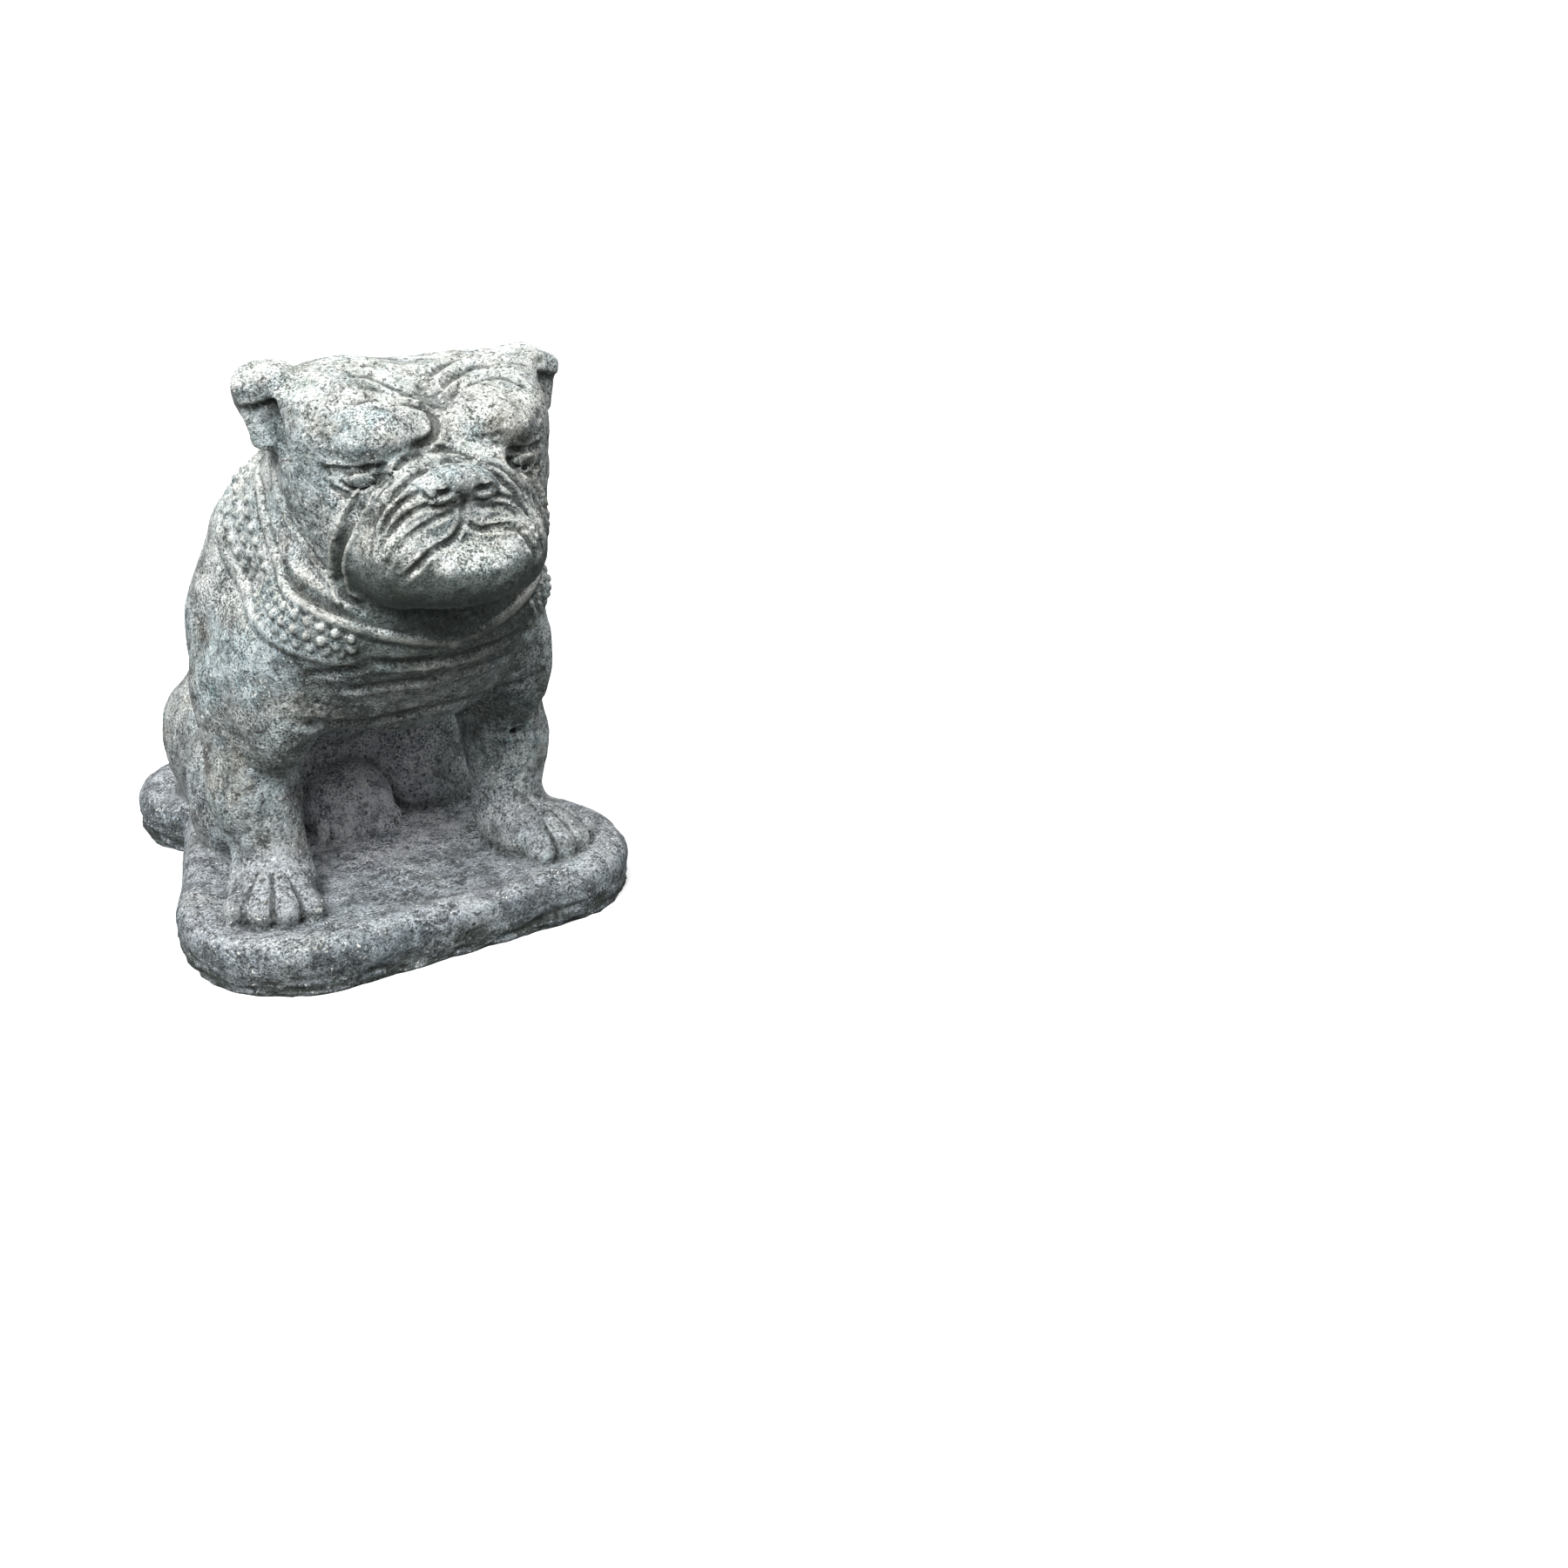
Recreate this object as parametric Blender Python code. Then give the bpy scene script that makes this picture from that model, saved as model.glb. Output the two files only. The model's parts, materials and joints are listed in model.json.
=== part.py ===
"""A seated bulldog garden statue: dog, studded collar and base cast as one piece of stone.

Metres, Z up. The dog looks along -Y, its left side is +X, and the underside of the base is z = 0.
The origin lies under the middle of the whole, nose to rump, so the base itself sits a little behind it.
The form is a field that is negative inside the stone. Rounded masses are blended into it, folds
and toes are cut into it, and its zero surface is then skinned, thinned and cut flat below.
"""

import math

import bmesh
import bpy
import numpy as np

# Main sizes
FIGURE_HEIGHT = 0.373
BASE_WIDTH = 0.332
BASE_LENGTH = 0.398
BASE_THICKNESS = 0.037
BASE_FRONT = 0.198
REAR_LOBE_WIDTH = 0.228
WAIST_WIDTH = 0.220
WAIST_FROM_FRONT = 0.250
TAPER_FROM_FRONT = 0.108
FRONT_CORNER_RADIUS = 0.082
REAR_CORNER_RADIUS = 0.070
RIM_HEIGHT = 0.005
CELL = 0.0036
TRIANGLES = 9700

# The carving is measured in 373rds of the figure's height, about a millimetre each
STEP = FIGURE_HEIGHT / 373

# The head is turned a little to the dog's right about the point between its ears
HEAD_TURN = math.radians(6)
HEAD_CENTRE = np.array([5.5, -153.0, 0.0])


def smooth_min(a, b, k):
    h = np.maximum(k - np.abs(a - b), 0) / k
    return np.minimum(a, b) - h * h * k / 4


def smooth_max(a, b, k):
    return -smooth_min(-a, -b, k)


def turned(x, y, angle):
    """The coordinates x, y seen from axes turned by the angle."""
    c, s = math.cos(angle), math.sin(angle)
    return c * x + s * y, c * y - s * x


class Clay:
    """A block of cells, each holding the field at its corner, in carving steps above the base top."""

    def __init__(self, low, high, cell):
        self.low = np.array(low, float)
        self.cell = cell
        self.size = np.ceil((np.array(high) - self.low) / cell).astype(int) + 1
        self.field = np.full(self.size, 60.0, np.float32)

    def window(self, centre, reach):
        first = np.floor((np.array(centre) - reach - self.low) / self.cell).astype(int)
        last = np.ceil((np.array(centre) + reach - self.low) / self.cell).astype(int) + 1
        first = np.clip(first, 0, self.size - 1)
        last = np.clip(last, 1, self.size)
        part = tuple(slice(a, b) for a, b in zip(first, last))
        axes = [
            (self.low[i] + self.cell * np.arange(first[i], last[i])).astype(np.float32)
            for i in range(3)
        ]
        return part, np.ix_(*axes)

    def join(self, centre, reach, shape, blend):
        part, (x, y, z) = self.window(centre, np.array(reach) + blend + 2 * self.cell)
        self.field[part] = smooth_min(self.field[part], shape(x, y, z), blend)

    def cut(self, centre, reach, shape, blend):
        part, (x, y, z) = self.window(centre, np.array(reach) + blend + 2 * self.cell)
        self.field[part] = smooth_max(self.field[part], -shape(x, y, z), blend)

    def sample(self, points):
        """The field at points, read between the corners of their cells."""
        at = (points - self.low) / self.cell
        first = np.clip(np.floor(at).astype(int), 0, self.size - 2)
        part = at - first
        total = 0
        for i, j, k in np.ndindex(2, 2, 2):
            corner = first + (i, j, k)
            share = np.prod(np.where((i, j, k), part, 1 - part), axis=1)
            total = total + share * self.field[tuple(corner.T)]
        return total

    def lay(self, points):
        """Moves points straight in or out onto the skin."""
        points = np.array(points, float)
        for _ in range(4):
            slope = np.stack(
                [self.sample(points + e) - self.sample(points - e) for e in 2 * np.eye(3)], 1
            ) / 4
            here = self.sample(points)[:, None]
            points = points - here * slope / np.maximum((slope**2).sum(1), 0.2)[:, None]
        return points

    def relief(self, centre, reach, height):
        """Raises the skin by height(x, y, z), a figure of a few steps."""
        part, (x, y, z) = self.window(centre, reach)
        self.field[part] -= height(x, y, z).astype(np.float32)

    def soften(self, point):
        """Averages the cells about a point where the skin pinches to nothing."""
        part, _ = self.window(point, 2.5 * self.cell)
        here = self.field[part]
        calm = here.copy()
        for axis in range(3):
            calm = (np.roll(calm, 1, axis) + 2 * calm + np.roll(calm, -1, axis)) / 4
        here[1:-1, 1:-1, 1:-1] = calm[1:-1, 1:-1, 1:-1]


def ellipsoid(centre, radii, yaw=0.0, pitch=0.0, roll=0.0):
    """A rounded mass. Yaw turns it about Z, pitch lifts its -Y end, roll tips its top to +X."""
    yaw, pitch, roll = (math.radians(a) for a in (yaw, pitch, roll))

    def shape(x, y, z):
        u, v = turned(x - centre[0], y - centre[1], yaw)
        v, w = turned(v, z - centre[2], -pitch)
        w, u = turned(w, u, roll)
        near = np.sqrt((u / radii[0]) ** 2 + (v / radii[1]) ** 2 + (w / radii[2]) ** 2)
        steep = np.sqrt(
            (u / radii[0] ** 2) ** 2 + (v / radii[1] ** 2) ** 2 + (w / radii[2] ** 2) ** 2
        )
        return near * (near - 1) / np.maximum(steep, 1e-4)

    return shape


def block(centre, half, radius, yaw=0.0, pitch=0.0, roll=0.0):
    """A box with rounded edges, turned as an ellipsoid is."""
    yaw, pitch, roll = (math.radians(a) for a in (yaw, pitch, roll))

    def shape(x, y, z):
        u, v = turned(x - centre[0], y - centre[1], yaw)
        v, w = turned(v, z - centre[2], -pitch)
        w, u = turned(w, u, roll)
        q = [np.abs(a) - b + radius for a, b in zip((u, v, w), half)]
        outside = np.sqrt(sum(np.maximum(a, 0) ** 2 for a in q))
        return outside + np.minimum(np.maximum(np.maximum(q[0], q[1]), q[2]), 0) - radius

    return shape


def limb(start, end, r0, r1):
    """A round bar that tapers from r0 to r1."""
    start, end = np.array(start, float), np.array(end, float)
    along = end - start

    def shape(x, y, z):
        p = (x - start[0], y - start[1], z - start[2])
        t = sum(p[i] * along[i] for i in range(3)) / (along @ along)
        t = np.clip(t, 0, 1)
        away = sum((p[i] - t * along[i]) ** 2 for i in range(3))
        return np.sqrt(away) - (r0 + t * (r1 - r0))

    return shape


def mass(clay, centre, radii, blend, yaw=0.0, pitch=0.0, roll=0.0):
    clay.join(centre, max(radii), ellipsoid(centre, radii, yaw, pitch, roll), blend)


def bar(clay, points, radii, blend):
    for a, b, r0, r1 in zip(points, points[1:], radii, radii[1:]):
        centre = (np.array(a) + np.array(b)) / 2
        reach = np.abs(np.array(a) - np.array(b)) / 2 + max(r0, r1)
        clay.join(centre, reach, limb(a, b, r0, r1), blend)


def head_point(x, y, z):
    """A point given in the head's own axes."""
    u, v = turned(x, y, HEAD_TURN)
    return np.array([u + HEAD_CENTRE[0], v + HEAD_CENTRE[1], z])


def curve(points, count=24):
    """Points along a smooth curve through the given ones."""
    points = np.array(points, float)
    ends = np.vstack([2 * points[0] - points[1], points, 2 * points[-1] - points[-2]])
    t = np.linspace(0, len(points) - 1, count)
    i = np.minimum(t.astype(int), len(points) - 2)
    u = (t - i)[:, None]
    a, b, c, d = (ends[i + j] for j in range(4))
    return 0.5 * (2 * b + (c - a) * u + (2 * a - 5 * b + 4 * c - d) * u**2 + (3 * (b - c) + d - a) * u**3)


def fold(clay, path, depth, width, lip=0.3):
    """A groove with raised lips along a path on the skin, or a ridge where the depth is negative."""
    width = max(width, 0.9 * clay.cell)
    centre = (path.min(0) + path.max(0)) / 2
    reach = (path.max(0) - path.min(0)) / 2 + 3 * width

    def height(x, y, z):
        best = np.full(np.broadcast_shapes(x.shape, y.shape, z.shape), 1e6, np.float32)
        along = np.zeros_like(best)
        for i, (a, b) in enumerate(zip(path, path[1:])):
            e = b - a
            t = ((x - a[0]) * e[0] + (y - a[1]) * e[1] + (z - a[2]) * e[2]) / (e @ e)
            t = np.clip(t, 0, 1)
            d = (x - a[0] - t * e[0]) ** 2 + (y - a[1] - t * e[1]) ** 2 + (z - a[2] - t * e[2]) ** 2
            closer = d < best
            best = np.where(closer, d, best)
            along = np.where(closer, (i + t) / (len(path) - 1), along)
        away = np.sqrt(best) / width
        ends = np.clip(np.minimum(along, 1 - along) * 6 + 0.25, 0, 1)
        groove = np.exp(-(away**2)) - lip * np.exp(-2 * (away - 1.9) ** 2)
        return -depth * ends * groove * np.clip(3 - away, 0, 1)

    clay.relief(centre, reach, height)


def press(clay, curves):
    """Folds the skin along curves, each with a depth and a width. All are laid on it before any is cut."""
    laid = [(clay.lay(curve(points)), depth, width) for points, depth, width in curves]
    for path, depth, width in laid:
        path[1:-1] = (path[:-2] + 2 * path[1:-1] + path[2:]) / 4
        fold(clay, path, depth, width)


def base_outline(x, y):
    """Distance outside the base's edge, seen from above. The base has broad front lobes and a waist."""
    half, rear, waist = (w / 2 / STEP for w in (BASE_WIDTH, REAR_LOBE_WIDTH, WAIST_WIDTH))
    front, length = BASE_FRONT / STEP, BASE_LENGTH / STEP
    waist_y = WAIST_FROM_FRONT / STEP - front
    ax = np.abs(x)

    def block(y0, y1, side, radius):
        qx = ax - (side - radius)
        qy = np.abs(y - (y0 + y1) / 2) - ((y1 - y0) / 2 - radius)
        outside = np.sqrt(np.maximum(qx, 0) ** 2 + np.maximum(qy, 0) ** 2)
        return outside + np.minimum(np.maximum(qx, qy), 0) - radius

    fore = block(-front, -front + 170, half, FRONT_CORNER_RADIUS / STEP)
    aft = block(waist_y + 4, length - front, rear, REAR_CORNER_RADIUS / STEP)
    taper = (half - waist) / ((WAIST_FROM_FRONT - TAPER_FROM_FRONT) / STEP)
    side = (ax - waist - taper * (waist_y - y)) / math.hypot(1, taper)
    start = FRONT_CORNER_RADIUS / STEP - front
    middle = np.maximum(np.maximum(side, ax - half + 6), np.maximum(start - y, y - waist_y - 20))
    return smooth_min(smooth_min(fore, middle, 14), aft, 12)


def add_base(clay):
    thick = BASE_THICKNESS / STEP
    rim = RIM_HEIGHT / STEP

    def shape(x, y, z):
        edge = base_outline(x, y)
        top = rim * np.exp(-(((edge + 15) / 13) ** 2)) - rim
        side = edge + 3 * ((z + thick * 0.45) / thick) ** 2
        return np.maximum(smooth_max(side + 0 * z, z - top, 16), -thick - 10 - z)

    clay.join((0, 7, -thick / 2), (BASE_WIDTH / STEP / 2, BASE_LENGTH / STEP / 2, thick / 2 + 14), shape, 4)


# The dog's left shoulder and foreleg stand this many steps ahead of its right ones
LEFT_AHEAD = 13


def add_body(clay):
    mass(clay, (0, -34, 170), (95, 82, 80), 20)
    mass(clay, (0, -112, 166), (90, 66, 56), 30)
    mass(clay, (-5, 70, 98), (73, 87, 82), 40)
    mass(clay, (-5, 88, 22), (72, 78, 40), 24)
    mass(clay, (0, -114, 238), (86, 76, 84), 40, pitch=42)
    mass(clay, (0, 20, 180), (66, 84, 58), 40, pitch=34)
    mass(clay, (0, -150, 208), (95, 57, 44), 34)
    mass(clay, (0, -78, 262), (84, 60, 56), 30)
    mass(clay, (-32, -44, 236), (63, 58, 50), 24)
    for s in (-1, 1):
        ahead = LEFT_AHEAD if s > 0 else 0
        mass(clay, (s * 61 - 7, 66, 53), (37, 60, 54), 14, yaw=-8 * s)
        bar(clay, [(s * 60 - 6, 118, 8), (s * 64 - 6, 50, 8), (s * 79 - 2, 10, 14)], [24, 24, 29], 12)
        mass(clay, (s * 81, -40 - ahead, 158), (35, 48, 70), 24, roll=6 * s)
        mass(clay, (s * 88, -102 - ahead / 2, 150), (28, 46, 58), 24)
        mass(clay, (s * 60 - 3, 12, 50), (32, 34, 52), 12)
        mass(clay, (s * 80 - 2, 12, 45), (32, 31, 46), 14)


def add_front_legs(clay):
    """The dog's left paw is set a little nearer the middle and further forward than its right."""
    for s in (-1, 1):
        dx, dy = (0, 0) if s < 0 else (-6, -LEFT_AHEAD)
        knee = (s * 97 + dx / 2, -76 + dy, 70)
        bar(clay, [(s * 92, -62 + dy, 140), knee, (s * 93 + dx, -86 + dy, 22)], [35, 28, 26], 18)
        mass(clay, (s * 102 + dx, -104 + dy, 7), (31, 39, 22), 12, yaw=30 * s)
        for i in range(4):
            a = math.radians(s * (58 - 22 * i))
            toe = (s * 96 + dx + 42 * math.sin(a), -98 + dy - 42 * math.cos(a), 5)
            mass(clay, toe, (10, 15, 12), 4, yaw=math.degrees(a))


def add_hind_paws(clay):
    for s in (-1, 1):
        bar(clay, [(s * 58, 56, 48), (s * 30, 44, 22), (s * 15, 16, 12)], [28, 22, 19], 10)
        mass(clay, (s * 16, 0, 8), (17, 34, 24), 6)
        for i in range(4):
            toe = (s * (4 + 8 * i), -29 + 2.2 * (i - 1.2) ** 2, 1)
            mass(clay, toe, (5, 9, 10), 3, yaw=s * (10 * i - 12))


def add_head(clay):
    def turns(yaw=0.0, pitch=0.0, roll=0.0):
        return yaw - math.degrees(HEAD_TURN), pitch, roll

    def lump(x, y, z, radii, blend, *angles):
        mass(clay, head_point(x, y, z), radii, blend, *turns(*angles))

    def hollow(x, y, z, radii, blend, *angles):
        centre = head_point(x, y, z)
        clay.cut(centre, max(radii), ellipsoid(centre, radii, *turns(*angles)), blend)

    def slab(x, y, z, half, radius, blend, *angles):
        centre = head_point(x, y, z)
        clay.join(centre, math.hypot(*half), block(centre, half, radius, *turns(*angles)), blend)

    slab(0, 14, 310, (83, 64, 48), 38, 20, 0, -3)
    slab(0, 18, 342, (86, 32, 20), 18, 14, 0, 0, -3)
    lump(-40, 10, 338, (44, 48, 34), 16)
    lump(0, -14, 296, (83, 53, 56), 18)
    for s in (-1, 1):
        lump(s * 42, -28, 266, (33, 42, 40), 14)
        lump(s * 42, -38, 332, (37, 31, 22), 8, 0, 0, 8 * s)
        slab(s * 85, 14, 346, (18, 18, 22 - 2 * s), 7, 6, 23 * s, 0, 14 * s)
        lump(s * 87, 22, 351 - 2 * s, (20, 20, 20), 6)
    slab(0, -46, 285, (56, 40, 37), 30, 8)
    for s in (-1, 1):
        lump(s * 34, -60, 258, (29, 37, 32), 7)
        hollow(s * 56, -66, 311, (20, 13, 8), 5, 14 * s)
        lump(s * 53, -54, 311, (10, 8, 6), 1)
    lump(0, -80, 307, (20, 13, 10), 4)
    lump(0, -78, 248, (45, 26, 22), 7)
    for s in (-1, 1):
        hollow(s * 12, -92, 306, (4.5, 5, 3.5), 1)


def add_face_folds(clay):
    """Each fold is a curve in the head's axes, a depth and a width."""
    both = (
        ([(52, -64, 301), (60, -59, 290), (67, -55, 274), (69, -48, 258), (66, -41, 235), (57, -47, 225)], 11, 5),
        ([(47, -77, 296), (51, -72, 287), (55, -74, 277), (58, -77, 264)], 5, 2.6),
        ([(80, -29, 334), (78, -43, 325), (72, -48, 316), (61, -57, 316), (41, -64, 318)], 5, 3),
        ([(62, -56, 311), (56, -58, 315), (49, -60, 314), (42, -58, 308)], 3, 1.6),
        ([(64, -51, 308), (57, -55, 304), (50, -58, 304), (43, -59, 306)], 3, 1.6),
        ([(72, -46, 306), (63, -52, 301), (57, -57, 298), (50, -65, 300), (43, -64, 304)], 4, 2.6),
        ([(83, 26, 308), (85, 14, 288), (83, 1, 274), (79, -18, 261), (73, -33, 249), (66, -41, 235)], 4, 4),
        ([(17, -84, 303), (14, -87, 305), (10, -89, 304)], 5, 2.6),
    )
    right = (
        ([(51, -39, 354), (30, -39, 355), (14, -42, 351), (6, -47, 345), (3, -54, 335), (10, -59, 327), (24, -64, 325)], 6, 2.8),
        ([(42, -10, 369), (29, -14, 367), (17, -20, 362), (10, -33, 355)], 4.5, 2.8),
        ([(49, -23, 364), (32, -24, 363), (18, -32, 357), (8, -42, 350)], 4.5, 2.8),
        ([(42, -92, 256), (28, -95, 267), (17, -89, 269), (7, -85, 273), (0, -86, 283)], 8, 3),
        ([(49, -77, 284), (43, -80, 293), (35, -83, 300), (24, -83, 303), (14, -86, 301)], 6.5, 2.5),
        ([(51, -82, 275), (42, -83, 285), (34, -85, 291), (23, -85, 295), (10, -85, 294)], 6.5, 2.5),
        ([(52, -88, 263), (45, -89, 272), (35, -89, 279), (23, -86, 284), (5, -85, 290)], 6.5, 2.5),
    )
    left = (
        ([(14, -14, 360), (24, -1, 364), (40, 14, 365), (56, 17, 366)], 4.5, 2.8),
        ([(11, -38, 352), (24, -25, 357), (41, -13, 360), (52, -12, 360), (63, -15, 356)], 4.5, 2.8),
        ([(13, -49, 347), (25, -42, 353), (40, -34, 355), (55, -30, 353), (68, -34, 347)], 5, 2.8),
        ([(9, -86, 297), (20, -85, 297), (32, -85, 293), (42, -83, 282), (49, -91, 262)], 6.5, 2.5),
        ([(8, -85, 291), (20, -86, 290), (31, -86, 287), (39, -87, 279), (45, -93, 262)], 6.5, 2.5),
        ([(2, -86, 281), (12, -85, 276), (21, -88, 276), (32, -90, 275), (39, -94, 267), (44, -94, 254)], 8, 3),
    )
    across = (
        ([(-55, -72, 284), (-44, -70, 304), (-27, -67, 321), (-2, -62, 324), (23, -75, 314), (48, -77, 285)], 6, 3),
        ([(-43, -79, 301), (-23, -76, 314), (-3, -71, 319), (15, -76, 314), (40, -82, 288), (52, -88, 254)], 6, 2.8),
        ([(0, -5, 366), (0, -32, 357), (0, -50, 343)], 4, 6),
        ([(0, -88, 302), (1, -87, 294), (0, -86, 283)], 5, 2.6),
    )
    for curves, sides in ((both, (-1, 1)), (right, (-1,)), (left, (1,)), (across, (1,))):
        press(
            clay,
            [
                ([head_point(s * x, y, z) for x, y, z in points], depth, width)
                for s in sides
                for points, depth, width in curves
            ],
        )


COLLAR_INNER = [(0, -50, 292), (52, -66, 302), (78, -98, 289), (85, -116, 266), (88, -146, 236), (84, -170, 225), (52, -200, 208), (0, -212, 192)]
COLLAR_OUTER = [(0, -14, 262), (54, -30, 266), (84, -62, 238), (92, -96, 212), (96, -150, 198), (68, -194, 184), (0, -212, 170)]


def add_collar(clay):
    """The strap's two edges are thin raised cords, and the throat and chest hang in folds over and under it."""
    throat = [(86, -138, 243), (84, -163, 234), (74, -185, 225), (58, -197, 219)]
    upper = [(81, -162, 176), (58, -188, 186), (30, -199, 184), (0, -204, 183)]
    lower = [(66, -170, 163), (40, -186, 168), (0, -194, 168)]
    edge = [(90, -148, 140), (56, -146, 131), (28, -163, 139), (0, -171, 140)]
    lines = (
        (COLLAR_INNER, -4, 2.8),
        (COLLAR_OUTER, -3, 3.6),
        (throat, 5, 4),
        (upper, 3.5, 4),
        (lower, 3, 4),
        (edge, 3, 4),
    )
    for s in (-1, 1):
        press(
            clay,
            [([(s * x, y, z) for x, y, z in points], depth, width) for points, depth, width in lines],
        )


def skin(field, low, cell):
    """Vertices and quads of the field's zero surface: one vertex in each cell that it crosses."""
    cells = np.array(field.shape) - 1
    count = int(np.prod(cells))
    total = np.zeros((3, count))
    hits = np.zeros(count)
    quads = []
    for axis in range(3):
        u, v = (axis + 1) % 3, (axis + 2) % 3
        lower = [slice(1, -1)] * 3
        lower[axis] = slice(0, -1)
        upper = list(lower)
        upper[axis] = slice(1, None)
        a, b = field[tuple(lower)], field[tuple(upper)]
        at = np.argwhere((a < 0) != (b < 0))
        va, vb = a[tuple(at.T)], b[tuple(at.T)]
        at[:, u] += 1
        at[:, v] += 1
        point = at.astype(float)
        point[:, axis] += va / (va - vb)
        ring = []
        for du, dv in ((0, 0), (-1, 0), (-1, -1), (0, -1)):
            cell_at = at.copy()
            cell_at[:, u] += du
            cell_at[:, v] += dv
            index = np.ravel_multi_index(tuple(cell_at.T), cells)
            ring.append(index)
            hits += np.bincount(index, minlength=count)
            for i in range(3):
                total[i] += np.bincount(index, weights=point[:, i], minlength=count)
        ring = np.stack(ring, 1)
        ring[va > 0] = ring[va > 0][:, ::-1]
        quads.append(ring)
    used = np.flatnonzero(hits)
    vertices = (total[:, used] / hits[used]).T * cell + low
    number = np.zeros(count, int)
    number[used] = np.arange(len(used))
    return vertices, number[np.vstack(quads)]


def pinched(quads):
    """The vertices of edges that more than two faces share."""
    edges = np.sort(np.vstack([np.roll(quads, i, 1)[:, :2] for i in range(4)]), 1)
    kinds, count = np.unique(edges, axis=0, return_counts=True)
    return np.unique(kinds[count > 2])


def whole(vertices, quads):
    """The largest connected skin, without any sealed bubble left between two masses."""
    label = np.arange(len(vertices))
    while True:
        least = label.copy()
        lowest = label[quads].min(1)
        for i in range(4):
            np.minimum.at(least, quads[:, i], lowest)
        least = least[least]
        if (least == label).all():
            break
        label = least
    kept = label == np.bincount(label).argmax()
    number = np.cumsum(kept) - 1
    return vertices[kept], number[quads[kept[quads[:, 0]]]]


def block_of_clay(cell):
    """Clay with room for the figure and for the base, whichever reaches further."""
    side = max(168, BASE_WIDTH / 2 / STEP) + 22
    back = max(200, (BASE_LENGTH - BASE_FRONT) / STEP) + 30
    front = max(256, BASE_FRONT / STEP) + 28
    low = (-side, -front, -BASE_THICKNESS / STEP - 18)
    return Clay(low, (side, back, 395), cell / STEP)


def carve(cell=CELL):
    """The whole statue in carving steps, as vertices and quads."""
    clay = block_of_clay(cell)
    add_body(clay)
    add_front_legs(clay)
    add_hind_paws(clay)
    add_head(clay)
    add_face_folds(clay)
    add_collar(clay)
    add_base(clay)
    for _ in range(8):
        vertices, quads = skin(clay.field, clay.low, clay.cell)
        tight = pinched(quads)
        if not len(tight):
            break
        for point in vertices[tight]:
            clay.soften(point)
    return whole(vertices, quads)


def flat_below(mesh):
    """Cuts the mesh off at z = 0 and closes it with a flat face."""
    bm = bmesh.new()
    bm.from_mesh(mesh)
    parts = bm.verts[:] + bm.edges[:] + bm.faces[:]
    cut = bmesh.ops.bisect_plane(
        bm, geom=parts, dist=1e-5, plane_co=(0, 0, 0), plane_no=(0, 0, 1), clear_inner=True
    )
    rim = [e for e in cut["geom_cut"] if isinstance(e, bmesh.types.BMEdge)]
    bmesh.ops.holes_fill(bm, edges=rim)
    bmesh.ops.triangulate(bm, faces=bm.faces[:])
    bm.to_mesh(mesh)
    bm.free()


def build():
    vertices, quads = carve()
    vertices = vertices * STEP + np.array([0, 0, BASE_THICKNESS])
    mesh = bpy.data.meshes.new("bulldog_statue")
    mesh.from_pydata(vertices.tolist(), [], quads.tolist())
    flat_below(mesh)
    statue = bpy.data.objects.new("bulldog_statue", mesh)
    bpy.context.scene.collection.objects.link(statue)
    thin = statue.modifiers.new("thin", "DECIMATE")
    thin.ratio = TRIANGLES / len(mesh.polygons)
    bpy.context.view_layer.update()
    graph = bpy.context.evaluated_depsgraph_get()
    light = bpy.data.meshes.new_from_object(statue.evaluated_get(graph))
    statue.modifiers.clear()
    statue.data = light
    points = np.array([vertex.co for vertex in light.vertices])
    middle = (points.min(0) + points.max(0)) / 2
    for vertex in light.vertices:
        vertex.co.x -= middle[0]
        vertex.co.y -= middle[1]
        if abs(vertex.co.z) < 2e-4:
            vertex.co.z = 0
    return statue


for old in list(bpy.data.objects):
    bpy.data.objects.remove(old)
statue = build()
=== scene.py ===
# %% [markdown]
# # A seated bulldog in weathered cast stone
#
# The real thing is a garden ornament, one casting of crushed stone and cement: a heavy-headed
# bulldog with a studded collar, sitting on a low base. It could be sculpted with brushes, but a
# sculpture can't be changed by its numbers. So this lesson carves it from named sizes: rounded
# masses are blended on a grid, folds are pressed in, and the skin is turned into a mesh.
#
# The solid model beside this scene holds the size and the main forms. The scene carves the same
# forms on a finer grid, adds what the coarse solid leaves out, and gives the stone its look.
# Lengths are in metres unless a comment says steps. The dog looks along -Y and its left is +X.

# %% Imports and the solid's box
import json
import math

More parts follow.
